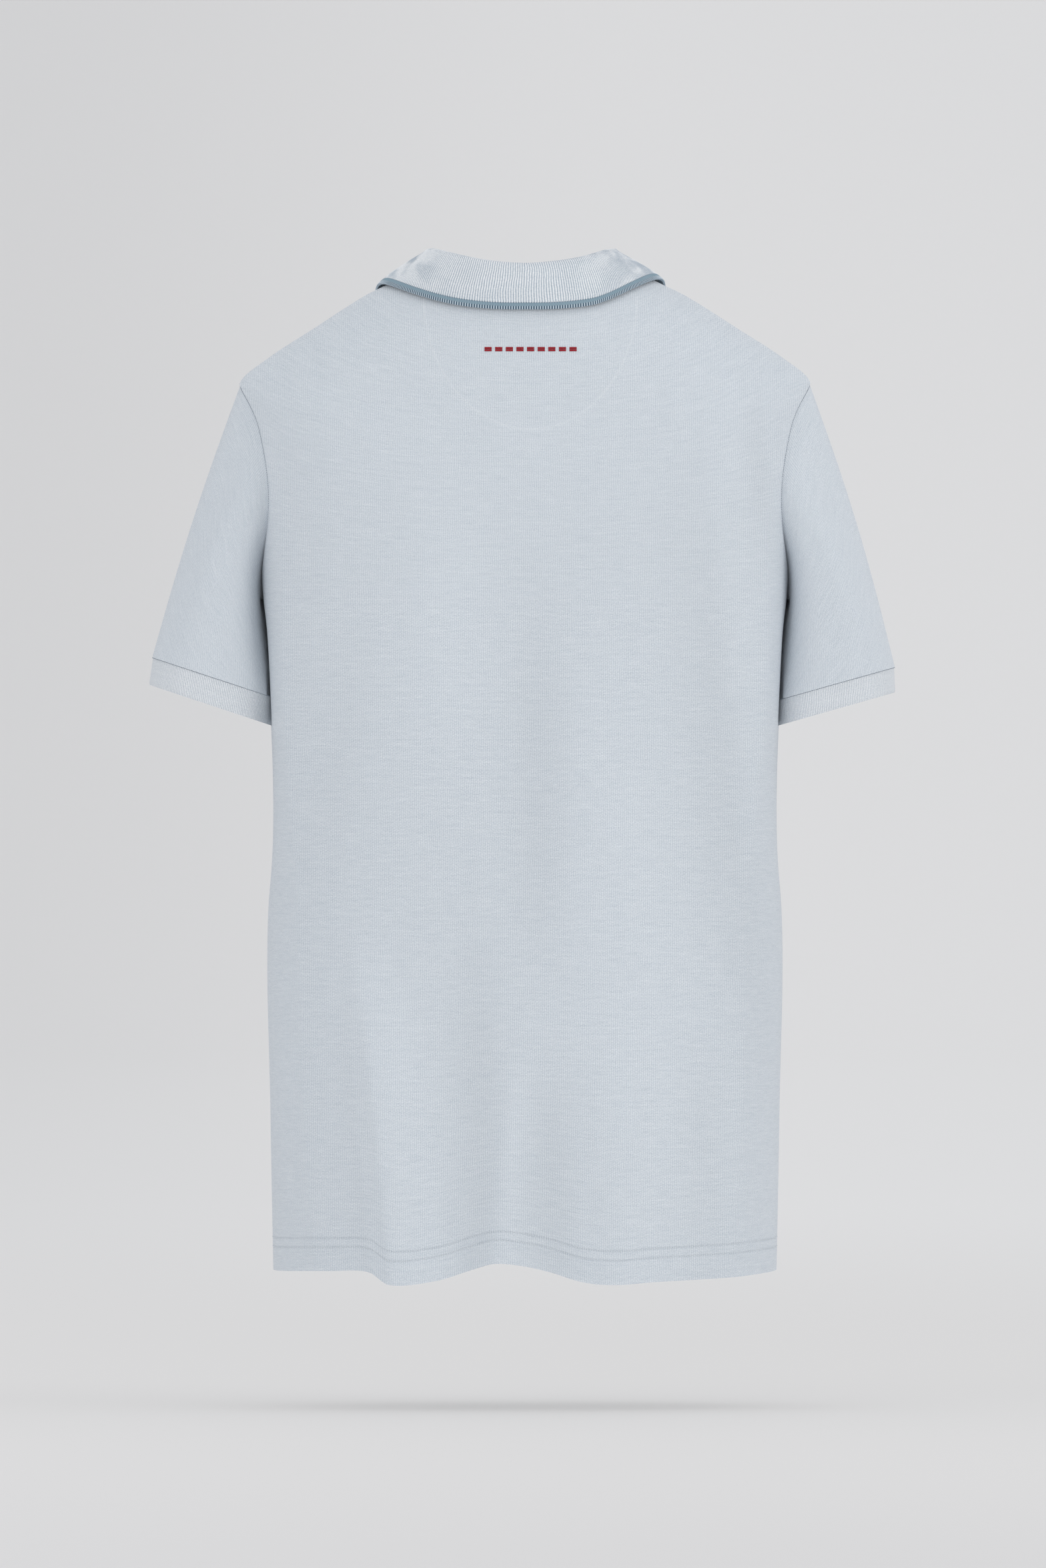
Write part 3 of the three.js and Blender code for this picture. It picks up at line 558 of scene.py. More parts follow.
BODY_KNIT = (BODY_COLOUR, (1.5, 1.15), (0.8, 0.6, 0.6), (0.11, 0.11, 0.2), 0.34)
RIB_KNIT = (RIB_COLOUR, (1.33, 1.0), (1.5, 0.3, 0.3), (0.26, 0.05, 0.04), 0.5)
PATCH_KNIT = (PATCH_COLOUR, (1.2, 1.0), (0.8, 0.5, 0.4), (0.12, 0.08, 0.05), 0.3)
COLLAR_KNIT = (COLLAR_COLOUR, (1.0, 1.05), (0.8, 0.5, 0.3), (0.42, 0.06, 0.04), 0.45)
back_knit = sewn_material("terry knit of the back", *BODY_KNIT, moon=True)
front_knit = sewn_material("terry knit of the front", *BODY_KNIT)
sleeve_knit = knit_material("terry knit of the sleeves", *BODY_KNIT)
placket_knit = knit_material("terry knit of the placket", *BODY_KNIT)
rib_knit = knit_material("rib knit", *RIB_KNIT)
patch_knit = knit_material("neck patch knit", *PATCH_KNIT)


def plain_material(name, colour, roughness, coat=0.0):
    """A smooth hard or threadlike finish with a faint uneven tone."""
    material, tree, shader = new_material(name, roughness)
    place, _ = object_place(tree)
    noise = add_node(tree, "ShaderNodeTexNoise", {"Scale": 900, "Vector": place}).outputs["Fac"]
    tones = add_node(tree, "ShaderNodeValToRGB", {"Fac": noise})
    tones.color_ramp.elements[0].color = (*[c * 0.88 for c in colour], 1)
    tones.color_ramp.elements[1].color = (*colour, 1)
    feed(tree, shader, {"Base Color": tones.outputs["Color"], "Coat Weight": coat})
    return material


seam_thread = plain_material("seam thread", (0.74, 0.78, 0.815), 0.7)
# A dark strand for the seams: painted shade, standing in for the shadow deep in each seam groove
seam_shadow_strand = plain_material("dark strand of painted seam shade", (0.24, 0.28, 0.33), 0.9)
button_resin = plain_material("button resin", (0.80, 0.81, 0.81), 0.3, coat=0.4)
red_satin = plain_material("red satin thread", (0.36, 0.008, 0.018), 0.45)


def lengths(points):
    """The length run so far along the second axis of a grid of points."""
    steps = np.linalg.norm(np.diff(points, axis=1), axis=-1)
    return np.concatenate([np.zeros((len(points), 1)), np.cumsum(steps, axis=1)], axis=1)


# Body panels

GROOVE_WIDTH = 2.6
GROOVE_DEPTH = 0.9
WRAP_Y = 75


def cloth_uv(points, up):
    """Across and along the cloth, in millimetres, with the wales upright."""
    x = points[..., 0]
    wrap = (1 - ease(470, 600, up)) * np.maximum(0, WRAP_Y - np.abs(points[..., 1]))
    return np.stack([np.sign(x) * (np.abs(x) + wrap) + 600, up + 0 * x], axis=-1)


UPS = np.concatenate([
    spread(0, UNDERARM_UP, 96, 0.35)[:-1],
    spread(UNDERARM_UP, TIP_UP, 60, 1.0)[:-1],
    spread(TIP_UP, NECK_UP, 34, 0.3),
])
FIRST_ARM = 95
LAST_ARM = FIRST_ARM + 59


def seam_dip(from_edge):
    return -GROOVE_DEPTH * np.exp(-((from_edge / GROOVE_WIDTH) ** 2))


def make_panel(name, turns, material, slit=None):
    up = np.broadcast_to(UPS, turns.shape)
    points = body_point(turns, up)
    dip = sum(seam_dip(np.linalg.norm(points - points[end], axis=-1)) for end in (0, -1))
    points = body_off(turns, up, dip)
    mask = None
    if slit is not None:
        mask = np.ones((turns.shape[0] - 1, turns.shape[1] - 1), bool)
        middle = turns.shape[0] // 2
        mask[middle - 1:middle + 1, np.searchsorted(UPS, slit):] = False
    return shell(name, points, CLOTH_WALL, cloth_uv(points, up), material, mask=mask)


def mark_folds_for_painted_shade(piece, folds):
    """Keeps each point's fold rise in millimetres, which the cloth's painted shade follows a little:
    darker in hollows, lighter on ridges.
    """
    mesh = piece.data
    places = np.empty(len(mesh.vertices) * 3, np.float32)
    mesh.vertices.foreach_get("co", places)
    x, _, z = places.reshape(-1, 3).T / MM
    layer = mesh.attributes.new("fold_rise", "FLOAT", "POINT")
    layer.data.foreach_set("value", fold_rise(folds, x, z).astype(np.float32))


BACK_COLUMNS = 180
FRONT_COLUMNS = 120
SLIT_HALF_WIDTH = 13
SLIT_LOW_UP = 505

edges = edge_turn(UPS)
share = spread(0, 1, BACK_COLUMNS + 1, 0.25)[:, None]
back_turns = edges + (np.pi - 2 * edges) * share
back_cloth = make_panel("back_cloth", back_turns, back_knit)
mark_folds_for_painted_shade(back_cloth, BACK_FOLDS)

slit_turn = np.arcsin(SLIT_HALF_WIDTH / RINGS("half_x", UPS))
outward = spread(0, 1, FRONT_COLUMNS // 2, 0.25)[:, None]
side_part = slit_turn + (np.pi / 2 - edges - slit_turn) * outward
front_turns = np.concatenate([-side_part[::-1], np.zeros((1, len(UPS))), side_part]) + 1.5 * np.pi
front_cloth = make_panel("front_cloth", front_turns, front_knit, slit=SLIT_LOW_UP)
mark_folds_for_painted_shade(front_cloth, FRONT_FOLDS)


# Sleeves and cuffs

SLEEVE_Y = 4
SLEEVE_HALF_DEPTH = 65
SLEEVE_BLUNTNESS = 0.7
SLEEVE_REACH_X = 14
SLEEVE_REACH_Z = 26
SLEEVE_CLEARANCE = 2.6
CUFF_INSET = 0.65
SLEEVE_ROWS = 70
CUFF_ROWS = 14
CUFF_DEPTH = 18


def blunted(value, sine):
    """Squares the back of a sleeve's round section a little, so that it lies flatter there."""
    return np.where(sine > 0, np.sign(value) * np.abs(value) ** SLEEVE_BLUNTNESS, value)


class Sleeve:
    """One sleeve: the two ends of its cuff seam, the drop of the cuff below it, and its puff."""

    def __init__(self, side, outer, inner, drop, puff):
        self.side, self.puff = side, puff
        self.outer, self.inner, self.drop = outer, inner, drop

    def cuff_seam(self, cosine, sine, grow):
        (outer_x, outer_z), (inner_x, inner_z) = self.outer, self.inner
        half_x = (outer_x - inner_x) / 2
        half_z = (outer_z - inner_z) / 2
        half_wide = math.hypot(half_x, half_z)
        scale = (half_wide + grow) / half_wide
        wide = blunted(cosine, sine)
        x = (outer_x + inner_x) / 2 + half_x * wide * scale
        z = (outer_z + inner_z) / 2 + half_z * wide * scale
        y = SLEEVE_Y + (SLEEVE_HALF_DEPTH + grow) * blunted(sine, sine)
        return np.stack([self.side * x, y, z], axis=-1)

    def loop(self):
        """Turns and heights of the armhole, ordered so that the sleeve's face points out."""
        ups = UPS[FIRST_ARM + 1:LAST_ARM][::-1]
        edge = edge_turn(ups)
        base = 0 if self.side > 0 else np.pi
        turns = np.concatenate([[base], base - edge, [base], base + edge[::-1]])
        heights = np.concatenate([[TIP_UP], ups, [UNDERARM_UP], ups[::-1]])
        return turns, heights

    def places(self, points):
        """The turn of each point round the sleeve, by its length along each half of the loop."""
        half = len(points) // 2
        steps = np.linalg.norm(np.roll(points, -1, axis=0) - points, axis=-1)
        length = np.concatenate([[0], np.cumsum(steps)])
        first = np.pi * length[:half + 1] / length[half]
        second = np.pi + np.pi * (length[half + 1:-1] - length[half]) / (length[-1] - length[half])
        return np.concatenate([first, second])


LEFT_SLEEVE = Sleeve(1, (268, -267), (177, -297), (3, -19.5), 2.5)
RIGHT_SLEEVE = Sleeve(-1, (266, -274), (177, -299), (1, -18), 3.5)

# Soft creases on a sleeve: turn toward the back, place along, the two spreads, and rise
SLEEVE_CREASES = (
    (0.9, 0.3, 0.35, 0.14, -2),
    (1.3, 0.62, 0.3, 0.2, 1.6),
    (-0.8, 0.34, 0.35, 0.15, -2.2),
    (-1.5, 0.66, 0.3, 0.18, 1.5),
)


def body_reach(y, z):
    """How far the body's side reaches out, at a depth and height below the underarm."""
    up = z - HEM_Z
    sign = np.where(y < 0, -1, 1)
    low = np.zeros_like(y)
    high = np.full_like(y, np.pi / 2)
    for _ in range(22):
        middle = (low + high) / 2
        short = np.abs(body_point(sign * middle, up)[..., 1]) < np.abs(y)
        low = np.where(short, middle, low)
        high = np.where(short, high, middle)
    return body_point(sign * low, up)[..., 0]


def make_sleeve(name, sleeve):
    turns, heights = sleeve.loop()
    start = body_off(turns, heights, -GROOVE_DEPTH)
    around = sleeve.places(body_point(turns, heights))
    cosine = np.cos(around)
    sine = -sleeve.side * np.sin(around)
    end = sleeve.cuff_seam(cosine, sine, 0)
    t = spread(0, 1, SLEEVE_ROWS, 0.5)
    tt = t[None, :, None]
    points = start[:, None] * (1 - tt) + end[:, None] * tt
    under = (1 - cosine) / 2
    reach = (2 * t * (1 - t))[None] * (sine * sine + 0.7 * under * under)[:, None]
    points[..., 0] += sleeve.side * SLEEVE_REACH_X * reach
    points[..., 2] += SLEEVE_REACH_Z * reach
    swell = np.sin(np.pi * t)[None]
    to_back = np.arctan2(sine, cosine)[:, None]
    crease = np.zeros((len(turns), SLEEVE_ROWS))
    for turn, along, turn_spread, along_spread, rise in SLEEVE_CREASES:
        a = (to_back - turn) / turn_spread
        b = (t[None] - along) / along_spread
        crease += rise * np.exp(-a * a - b * b)
    out = sleeve.puff * swell + crease * np.sqrt(swell)
    away = unit(np.stack([sleeve.side * cosine, sine, 0.3 * cosine], axis=-1))
    points += out[..., None] * away[:, None]
    least = body_reach(points[..., 1], points[..., 2]) + SLEEVE_CLEARANCE
    low = (points[..., 2] < UNDERARM_Z) & (t[None] > 0)
    pushed = sleeve.side * np.maximum(sleeve.side * points[..., 0], least)
    points[..., 0] = np.where(low, pushed, points[..., 0])
    along = lengths(points)
    lap = lengths(np.append(end, end[:1], axis=0)[None])[0]
    wide = np.concatenate([along, along[:1]])
    uv = np.stack([np.broadcast_to(lap[:, None], wide.shape), wide], axis=-1)
    piece = shell(name, points, CLOTH_WALL, uv, sleeve_knit, loop=True)
    return piece, (cosine, sine, lap)


def make_cuff(name, sleeve, around):
    cosine, sine, lap = around
    top = sleeve.cuff_seam(cosine, sine, -CUFF_INSET)
    t = spread(0, 1, CUFF_ROWS, 0.5)
    across, down = sleeve.drop
    drop = np.stack([sleeve.side * across * t, 0 * t, (down + 0.2) * t - 0.2], axis=-1)
    roll = -0.5 * np.exp(-(((1 - t) * CUFF_DEPTH / 1.2) ** 2))
    outward = np.stack([sleeve.side * cosine, sine, 0 * cosine], axis=-1)
    points = top[:, None] + drop[None] + roll[None, :, None] * outward[:, None]
    uv = np.stack(np.broadcast_arrays(lap[:, None], (t * CUFF_DEPTH)[None]), axis=-1)
    return shell(name, points, BAND_WALL * 0.8, uv, rib_knit, loop=True)


sleeve_cloth_left, around_left = make_sleeve("sleeve_cloth_left", LEFT_SLEEVE)
sleeve_cloth_right, around_right = make_sleeve("sleeve_cloth_right", RIGHT_SLEEVE)
cuff_band_left = make_cuff("cuff_band_left", LEFT_SLEEVE, around_left)
cuff_band_right = make_cuff("cuff_band_right", RIGHT_SLEEVE, around_right)


# Collar

# From the middle of the back to the front: how far the fold stands out and up from the
# neckline, how far down the body the loose edge reaches, and how far it swings to the side
COLLAR = Table(
    ("off", "fold_out", "fold_up", "edge_up", "edge_shift"),
    (
        (0, 0, 21, 763.5, 0),
        (0.8, -6, 23, 761, 0),
        (1.57, -16, 17, 753, 0),
        (2.3, -6, 22, 735, 0.1),
        (3.1, -1, 22, 702, 0.42),
    ),
)
COLLAR_END_TURN = 3.09
COLLAR_LIFT = 2.6
COLLAR_RIGHT_TUCK = 5.5
EDGE_TUCK_LEFT = 2
EDGE_TUCK_RIGHT = 9
EDGE_TUCK_SLOPE = 0.52
COLLAR_SIDES = (35, 75)
COLLAR_ROWS = 30
COLLAR_RIBS = 330
COLUMNS_PER_RIB = 4
RIB_HEIGHT = 0.32
TOOTH_HEIGHT = 0.5
TOOTH_REACH = 2.0
TIPPING_WIDE = 4.8
SLOT_FADE = (2.0, 2.7)


def collar_middle(off):
    """The collar's middle surface: up from the neckline, over the fold and down outside."""
    size = np.abs(off)
    turn = np.pi / 2 - off
    base = body_off(turn, NECK_UP, -WALL / 2)
    climb = unit(body_point(turn, NECK_UP) - body_point(turn, NECK_UP - 2))
    base = base + climb * SEAM_GAP
    outward = unit(base * np.array([1, 1, 0]))
    lift = np.array([0, 0, 1.0])
    fold = base + outward * COLLAR("fold_out", size)[:, None] + lift * COLLAR("fold_up", size)[:, None]
    edge_turns = turn + np.sign(off) * COLLAR("edge_shift", size)
    edge = body_off(edge_turns, COLLAR("edge_up", size), COLLAR_LIFT)
    to_right = ease(*COLLAR_SIDES, -fold[:, 0])
    to_left = ease(*COLLAR_SIDES, fold[:, 0])
    edge_tuck = EDGE_TUCK_RIGHT * to_right - EDGE_TUCK_LEFT * to_left
    fold[:, 0] += COLLAR_RIGHT_TUCK * to_right
    edge[:, 0] += edge_tuck
    edge[:, 2] += np.abs(edge_tuck) * EDGE_TUCK_SLOPE
    reach = np.linalg.norm(edge - fold, axis=-1)[:, None]
    knots = [base + (fold - base) * t for t in (0, 0.45, 0.88)]
    knots.append(fold + outward * 1.2 - lift * 0.1)
    fall = fold + outward * 4.2 - lift * 2.6
    for t in (0, 0.3, 0.62, 0.84, 1):
        bow = math.sin(math.pi * t) * (1.5 + reach * 0.03)
        knots.append(fall + (edge - fall) * t + outward * bow)
    return np.stack(knots, axis=1)


def smooth_along(knots, count):
    """A finer curve through the knots of each column, evenly spaced by the knots' own length."""
    steps = np.linalg.norm(np.diff(knots, axis=1), axis=-1).mean(axis=0)
    at = np.concatenate([[0], np.cumsum(steps)])
    return smooth(at, knots.swapaxes(0, 1), np.linspace(0, at[-1], count)).swapaxes(0, 1)


def make_collar():
    columns = COLLAR_RIBS * COLUMNS_PER_RIB + 1
    off = np.linspace(-COLLAR_END_TURN, COLLAR_END_TURN, columns)
    middle = smooth_along(collar_middle(off), COLLAR_ROWS)
    normals = grid_normals(middle, False)
    ribs = np.arange(columns)[:, None] / COLUMNS_PER_RIB
    rib = 0.5 * np.cos(ribs * TAU)
    along = lengths(middle)
    from_edge = along[:, -1:] - along
    thin = 1 - 0.35 * np.exp(-((from_edge / 1.2) ** 2))
    tooth = TOOTH_HEIGHT * rib * np.exp(-((from_edge / TOOTH_REACH) ** 2))
    ribbed = middle + normals * (BAND_WALL / 2 * thin + RIB_HEIGHT * rib)[..., None]
    ribbed = ribbed + unit(np.gradient(middle, axis=1)) * tooth[..., None]
    inward = middle - normals * (BAND_WALL / 2) - ribbed
    uv = np.stack(np.broadcast_arrays(ribs, from_edge), axis=-1)
    return shell("collar_knit", ribbed, BAND_WALL, uv, collar_rib, inward=inward)


def collar_material():
    """Upright ribs, a darker tipped band along the loose edge, and dark slots at its very edge."""
    material, tree, shader = new_material("tipped collar rib", 0.9, 0.15)
    calc = partial(math_node, tree)
    _, cloth = cloth_place(tree)
    from_edge = calc("DIVIDE", cloth["Y"], MM)
    rib = wave_height(tree, calc("DIVIDE", cloth["X"], MM), 1.0, 0.7)
    groove = calc("SUBTRACT", 1.0, rib)
    tipping = ramp(tree, from_edge, TIPPING_WIDE - 0.25, TIPPING_WIDE + 0.25, "LINEAR", (1, 0))
    slot_band = ramp(tree, from_edge, *SLOT_FADE, "LINEAR", (1, 0))
    joint = near_line(tree, calc("SUBTRACT", from_edge, TIPPING_WIDE), 0.45)
    knit = add_knit(tree, *COLLAR_KNIT)
    colour = knit["Colour"]
    for factor, tint in (
        (tipping, TIPPING_COLOUR),
        (calc("MULTIPLY", calc("POWER", rib, 3.0), slot_band), SLOT_THREAD),
        (calc("MULTIPLY", joint, calc("MULTIPLY", groove, 0.8)), SLOT_COLOUR),
        (calc("MULTIPLY", groove, slot_band), SLOT_COLOUR),
    ):
        colour = mix_colour(tree, factor, colour, tint)
    feed(tree, shader, {"Base Color": colour, "Normal": knit["Normal"]})
    return material


collar_rib = collar_material()
collar_knit = make_collar()


# Half-moon patch inside the back of the neck

def half_moon_line(swing, grow=0.0):
    x = PATCH_X + (PATCH_HALF_WIDTH + grow) * np.sin(swing)
    z = PATCH_TOP_Z - (PATCH_DEPTH + grow) * np.cos(swing)
    return back_at(x, z)


def make_half_moon():
    swing = np.linspace(1.5, -1.5, 61)
    low_turn, low_up = half_moon_line(swing)
    high_turn = np.pi / 2 - (np.pi / 2 - low_turn) * 1.12
    t = np.linspace(0, 1, 25)[None]
    turn = low_turn[:, None] * (1 - t) + high_turn[:, None] * t
    up = low_up[:, None] * (1 - t) + (NECK_UP - 0.5) * t
    points = body_off(turn, up, -WALL - SEAM_GAP)
    return shell("half_moon_patch", points, PATCH_WALL, cloth_uv(points, up), patch_knit)


half_moon_patch = make_half_moon()


# Placket and buttons

PLACKET_HALF_WIDTH = 16
PLACKET_LOW_UP = 490
PLACKET_OUT = SEAM_GAP + 0.5 + LAID_WALL
BUTTON_UPS = (757, 663, 575)
FRONT_TURN = 1.5 * np.pi
ROW_INSET = 3
BOX_HEIGHT = 8


def front_at(x, up):
    return FRONT_TURN + np.arcsin(x / RINGS("half_x", up))


def placket_strip(name, out, crown):
    x = np.linspace(-PLACKET_HALF_WIDTH, PLACKET_HALF_WIDTH, 33)[:, None]
    up = np.linspace(PLACKET_LOW_UP, NECK_UP - 1, 110)[None]
    turn = front_at(x, up)
    up = up + 0 * turn
    from_edge = PLACKET_HALF_WIDTH - np.abs(x)
    puff = crown * (ease(0, 1.5, from_edge) - 1)
    sunk = -0.35 * np.exp(-(((from_edge - ROW_INSET) / 0.8) ** 2))
    points = body_off(turn, up, out + puff + sunk)
    return shell(name, points, LAID_WALL, cloth_uv(points, up), placket_knit)


placket_over = placket_strip("placket_over", PLACKET_OUT, 0.5)
placket_behind = placket_strip("placket_behind", -WALL - SEAM_GAP - 0.5, 0.0)

# Radius and height of each ring round a button, from its underside over its rim
BUTTON_RINGS = (
    (4.6, 0), (5.3, 0.3), (5.6, 1), (5.5, 1.7), (5.1, 2.1), (4.5, 2.2), (4, 1.9), (3.6, 1.55),
)
BUTTON_MIDDLE = 1.45
BUTTON_SIDES = 40
BUTTON_LIFT = PLACKET_OUT + SEAM_GAP + 0.3


def button_seat(up):
    """The middle of a button's underside, and the ways across, along and off the placket."""
    normal = body_normal(FRONT_TURN, up)
    along = unit(body_point(FRONT_TURN, up + 1) - body_point(FRONT_TURN, up - 1))
    return body_off(FRONT_TURN, up, BUTTON_LIFT), np.cross(along, normal), along, normal


def make_button(name, up):
    """A turned disc with a raised rim, sewn through four eyes."""
    seat, across, along, normal = button_seat(up)
    angle = np.arange(BUTTON_SIDES) / BUTTON_SIDES * TAU
    ring = np.outer(np.cos(angle), across) + np.outer(np.sin(angle), along)
    rings = [seat + ring * radius + normal * height for radius, height in BUTTON_RINGS]
    points = np.concatenate(rings + [[seat], [seat + normal * BUTTON_MIDDLE]])
    low = len(rings) * BUTTON_SIDES
    faces = []
    for k in range(BUTTON_SIDES):
        n = (k + 1) % BUTTON_SIDES
        faces.append((low, n, k))
        for a in range(0, low - BUTTON_SIDES, BUTTON_SIDES):
            b = a + BUTTON_SIDES
            faces.append((a + k, a + n, b + n, b + k))
        faces.append((b + k, b + n, low + 1))
    mesh = bpy.data.meshes.new(name)
    mesh.from_pydata((points * MM).tolist(), [], faces)
    mesh.shade_smooth()
    mesh.materials.append(button_resin)
    return put(name, mesh)


buttons = [make_button(f"resin_button_{k + 1}", up) for k, up in enumerate(BUTTON_UPS)]


# Sewing: each line of stitches is a path of points, turned into thread by one node tree; the dark seam
# lines are strands of painted shade

def build_stitch_tree(material):
    """Puts a slim rounded stitch at even steps along the paths that it is given."""
    tree = bpy.data.node_groups.new("stitch line", "GeometryNodeTree")
    add_sockets(tree, "INPUT", "Geometry", "Paths")
    add_sockets(tree, "INPUT", "Float", "Step", "Stitch length", "Thread radius")
    add_sockets(tree, "OUTPUT", "Geometry", "Stitches")

    def made(kind, outlet, values=(), **settings):
        return add_node(tree, kind, values, **settings).outputs[outlet]

    given = add_node(tree, "NodeGroupInput").outputs
    paths = made("GeometryNodeMeshToCurve", "Curve", {"Mesh": given["Paths"]})
    steps = {"Curve": paths, "Length": given["Step"]}
    points = made("GeometryNodeResampleCurve", "Curve", steps, mode="LENGTH")
    tangent = made("GeometryNodeInputTangent", "Tangent")
    turn = made("FunctionNodeAlignRotationToVector", "Rotation", {"Vector": tangent}, axis="X")
    bead = made("GeometryNodeMeshIcoSphere", "Mesh", {"Subdivisions": 1, "Radius": 1.0})
    half = math_node(tree, "MULTIPLY", given["Stitch length"], 0.5)
    thin = given["Thread radius"]
    size = made("ShaderNodeCombineXYZ", "Vector", (half, thin, thin))
    spots = {"Points": points, "Instance": bead, "Rotation": turn, "Scale": size}
    beads = made("GeometryNodeInstanceOnPoints", "Instances", spots)
    thread = made("GeometryNodeRealizeInstances", "Geometry", {"Geometry": beads})
    coloured = {"Geometry": thread, "Material": material}
    stitches = made("GeometryNodeSetMaterial", "Geometry", coloured)
    add_node(tree, "NodeGroupOutput", {"Stitches": stitches})
    return tree


def stitched(name, paths, tree, step, length, radius):
    """One mesh of stitches along paths given in millimetres."""
    links = []
    start = 0
    for path in paths:
        links += [(k, k + 1) for k in range(start, start + len(path) - 1)]
        start += len(path)
    mesh = bpy.data.meshes.new(name + "_path")
    mesh.from_pydata((np.concatenate(paths) * MM).tolist(), links, [])
    carrier = put(name + "_path", mesh)
    modifier = carrier.modifiers.new("stitch line", "NODES")
    modifier.node_group = tree
    values = {"Step": step * MM, "Stitch length": length * MM, "Thread radius": radius * MM}
    for item in tree.interface.items_tree:
        if item.in_out == "INPUT" and item.name in values:
            modifier[item.identifier] = values[item.name]
    bpy.context.view_layer.update()
    evaluated = carrier.evaluated_get(bpy.context.evaluated_depsgraph_get())
    made = bpy.data.meshes.new_from_object(evaluated)
    made.name = name
    made.shade_smooth()
    carrier.modifiers.clear()
    bpy.data.objects.remove(carrier)
    bpy.data.meshes.remove(mesh)
    return put(name, made)


thread_tree = build_stitch_tree(seam_thread)
seam_shadow_tree = build_stitch_tree(seam_shadow_strand)
satin_tree = build_stitch_tree(red_satin)

STITCH_LIFT = 0.08
SEAM_DEPTH = -0.8

hem_paths = []
for row in HEM_ROWS:
    for first in (0, np.pi):
        turn = np.linspace(first + 0.02, first + np.pi - 0.02, 260)
        hem_paths.append(body_off(turn, row, STITCH_LIFT))
hem_stitches = stitched("hem_stitches", hem_paths, thread_tree, HEM_PITCH, 1.1, 0.26)

swing = np.linspace(-1.42, 1.42, 200)
moon_path = body_off(*half_moon_line(swing, grow=-MOON_ROW_INSET), STITCH_LIFT)
moon_stitches = stitched("half_moon_stitches", [moon_path], thread_tree, 1.9, 1.2, 0.22)


def seam_paths():
    """Dark strands of painted shade down in the grooves where the panels meet, at the sides, shoulders
    and armholes.
    """
    paths = []
    for base in (0, np.pi):
        for low, high, count in ((2, UNDERARM_UP - 2, 240), (TIP_UP + 2, NECK_UP - 20, 90)):
            paths.append(body_off(base, np.linspace(low, high, count), SEAM_DEPTH))
        up = np.linspace(UNDERARM_UP + 1, TIP_UP - 1, 160)
        for sign in (-1, 1):
            paths.append(body_off(base + sign * armhole_turn(up), up, SEAM_DEPTH))
    return paths


# Dark strands of painted shade in the seam grooves
seam_shadow_lines = stitched("seam_shadow_lines", seam_paths(), seam_shadow_tree, 1.6, 1.5, 0.25)

# A dark strand of painted shade round each cuff seam, in the groove between sleeve and cuff
lap = np.linspace(0, TAU, 300)
cuff_paths = [sleeve.cuff_seam(np.cos(lap), np.sin(lap), -0.35) for sleeve in (LEFT_SLEEVE, RIGHT_SLEEVE)]
cuff_seam_shadows = stitched("cuff_seam_shadows", cuff_paths, seam_shadow_tree, 1.33, 1.25, 0.42)


def placket_paths():
    """Both long rows of the placket, and the two rows across its foot."""
    paths = []
    low = PLACKET_LOW_UP + ROW_INSET
    half = PLACKET_HALF_WIDTH - ROW_INSET
    up = np.linspace(low, NECK_UP - 4, 160)
    for x in (-half, half):
        paths.append(body_off(front_at(x, up), up, PLACKET_OUT - 0.2))
    x = np.linspace(-half, half, 20)
    for up in (low, low + BOX_HEIGHT):
        paths.append(body_off(front_at(x, up), up, PLACKET_OUT - 0.1))
    return paths


placket_stitches = stitched("placket_stitches", placket_paths(), thread_tree, 2.4, 1.9, 0.22)


def eye_paths():
    """Crossed thread through the eyes of each button."""
    paths = []
    for up in BUTTON_UPS:
        seat, across, along, normal = button_seat(up)
        for sign in (1, -1):
            step = across * 1.1 + along * 1.1 * sign
            paths.append(seat + normal * 1.6 + np.linspace(-1, 1, 7)[:, None] * step)
    return paths


button_thread = stitched("button_thread", eye_paths(), thread_tree, 0.5, 0.9, 0.26)

# A plain row of satin dashes across the upper back
DASH_COUNT = 9
DASH_LENGTH = 4.8
DASH_STEP = 7.6
DASH_Z = -47
DASH_X = -4
SATIN_STEP = 0.34


def dash_paths():
    paths = []
    for k in range(DASH_COUNT):
        start = DASH_X + (k - (DASH_COUNT - 1) / 2) * DASH_STEP
        for low in np.arange(-DASH_LENGTH / 2, DASH_LENGTH / 2, SATIN_STEP):
            z = DASH_Z + np.linspace(-0.8, 0.8, 4)
            paths.append(body_off(*back_at(np.full(4, start + low), z), 0.25))
    return paths


satin_dashes = stitched("satin_dashes", dash_paths(), satin_tree, 1.0, 1.9, 0.24)


# Bodies, nodes and cloth

REPLACED = (
    (back_cloth, "back_panel", "body_knit"),
    (front_cloth, "front_panel", "body_knit"),
    (sleeve_cloth_left, "sleeve_left", "body_knit"),
    (sleeve_cloth_right, "sleeve_right", "body_knit"),
    (cuff_band_left, "cuff_left", "rib_knit"),
    (cuff_band_right, "cuff_right", "rib_knit"),
    (collar_knit, "collar", "rib_knit"),
    (half_moon_patch, "half_moon", "neck_patch"),
    (placket_over, "placket_top", "body_knit"),
    (placket_behind, "placket_under", "body_knit"),
    *[(button, f"button_{k + 1}", "button") for k, button in enumerate(buttons)],
)
for piece, node, finish in REPLACED:
    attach(piece, "root")
    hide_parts(node)

SEWN = (
    (hem_stitches, "body_knit"),
    (moon_stitches, "neck_patch"),
    (seam_shadow_lines, "body_knit"),
    (cuff_seam_shadows, "rib_knit"),
    (placket_stitches, "body_knit"),
    (button_thread, "button"),
    (satin_dashes, "body_knit"),
)
for piece, finish in SEWN:
    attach(piece, "root")


# Studio

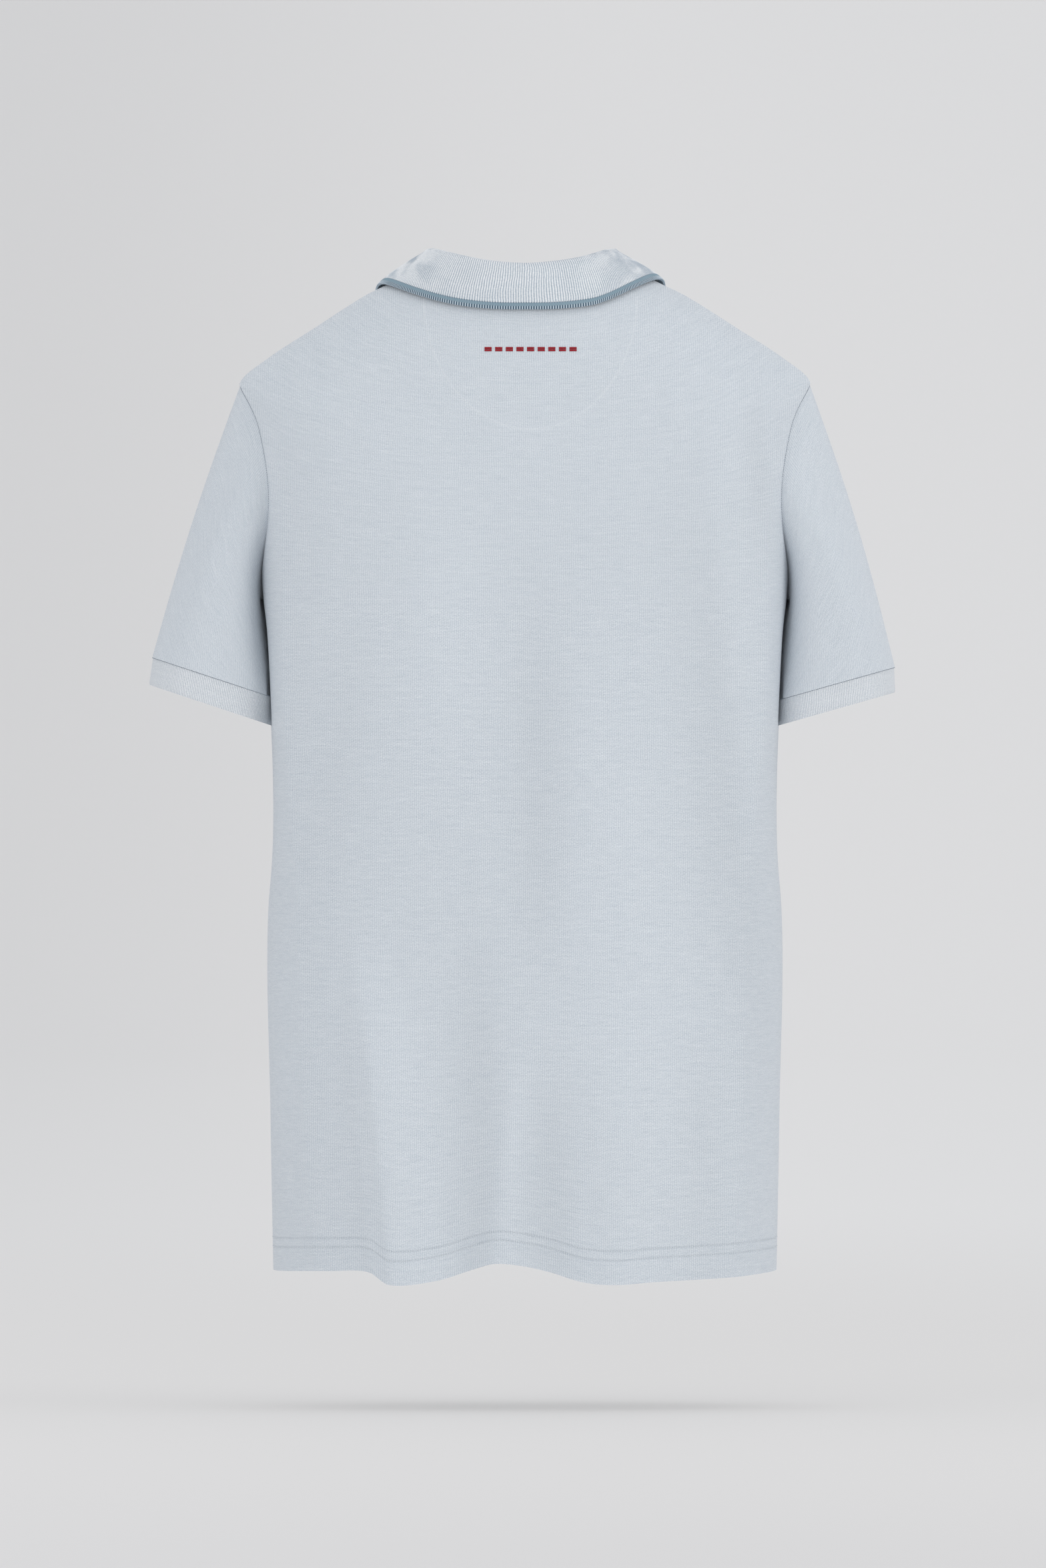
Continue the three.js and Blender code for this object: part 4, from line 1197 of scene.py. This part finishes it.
def paper_material():
    """Matt studio paper, paler far away, with painted shade toward the left side and toward the camera,
    and a painted glow near the middle that lights the floor and softens the shirt's shadow.
    """
    material, tree, shader = new_material("studio paper", 0.95)
    calc = partial(math_node, tree)
    place, spot = object_place(tree)
    span = vector_node(tree, "LENGTH", (place,))["Value"]
    near = ramp(tree, spot["Y"], 0.4, 2.6)
    side = ramp(tree, spot["X"], -0.3, 1.1)
    pale = mix_colour(tree, ramp(tree, span, 0.8, 7), (0.36, 0.357, 0.357, 1), (0.93, 0.925, 0.92))
    # Painted shade: darker toward the left side and toward the camera
    shade = calc("ADD", calc("MULTIPLY", side, 0.16), calc("MULTIPLY", near, 0.3))
    colour = mix_colour(tree, shade, pale, (0.4, 0.395, 0.4))
    # Painted glow: the paper near the middle gives off light, a little less toward the camera, which
    # softens the shirt's shadow on the floor
    dimmed = calc("SUBTRACT", 0.36, calc("MULTIPLY", near, 0.04))
    painted_glow = calc("MULTIPLY", ramp(tree, span, 7, 0.8), dimmed)
    feed(tree, shader, {"Base Color": colour, "Emission Strength": painted_glow})
    shader["Emission Color"].default_value = (1, 0.995, 0.995, 1)
    return material


FLOOR_Z = -0.806
FLAT_RADIUS = 18
BEND = 8
BEND_RINGS = 16
BOWL_SIDES = 96


def new_stage():
    """A pale round floor that curves up into a low wall far outside the camera."""
    profile = [(radius, FLOOR_Z) for radius in (0.02, 2, 6, 12, FLAT_RADIUS)]
    for k in range(1, BEND_RINGS + 1):
        a = k / BEND_RINGS * math.radians(72)
        profile.append((FLAT_RADIUS + BEND * math.sin(a), FLOOR_Z + BEND - BEND * math.cos(a)))
    turns = [k / BOWL_SIDES * TAU for k in range(BOWL_SIDES)]
    points = [(radius * math.cos(a), radius * math.sin(a), z) for radius, z in profile for a in turns]
    faces = [tuple(range(BOWL_SIDES))]
    for a in range(0, len(points) - BOWL_SIDES, BOWL_SIDES):
        b = a + BOWL_SIDES
        for k in range(BOWL_SIDES):
            n = (k + 1) % BOWL_SIDES
            faces.append((a + k, b + k, b + n, a + n))
    mesh = bpy.data.meshes.new("studio_bowl")
    mesh.from_pydata(points, [], faces)
    mesh.shade_smooth()
    mesh.materials.append(paper_material())
    return put("studio_bowl", mesh)


new_stage()


def area_light(name, place, target, size, power, colour):
    data = bpy.data.lights.new(name, "AREA")
    data.shape = "RECTANGLE"
    data.size, data.size_y = size
    data.energy = power
    data.color = colour
    lamp = put(name, data)
    lamp.location = place
    lamp.rotation_euler = (Vector(target) - Vector(place)).to_track_quat("-Z", "Y").to_euler()


area_light("window_right", (-3.0, 2.1, -0.25), (0, 0, -0.45), (1.6, 2.0), 38, (1.0, 0.995, 0.99))
area_light("window_left", (2.5, 3.0, -0.35), (0, 0, -0.45), (2.0, 2.0), 39, (0.99, 0.995, 1.0))
area_light("ceiling", (-0.7, 0.3, 2.4), (0, 0, -0.4), (1.6, 1.6), 5, (1, 1, 1))

world = bpy.data.worlds.new("studio air")
world.use_nodes = True
background = world.node_tree.nodes["Background"].inputs
feed(world.node_tree, background, {"Color": (0.97, 0.98, 1.0, 1), "Strength": 0.8})
scene.world = world
scene.view_settings.view_transform = "Standard"

camera_data = bpy.data.cameras.new("camera")
camera_data.sensor_fit = "VERTICAL"
camera_data.sensor_height = 36
camera_data.lens = 446.6
camera_data.clip_end = 90
camera = put("camera", camera_data)
camera.location = (0.0014, 14, -0.358)
camera.rotation_euler = (math.pi / 2, 0, math.pi)
scene.camera = camera

bpy.context.view_layer.update()
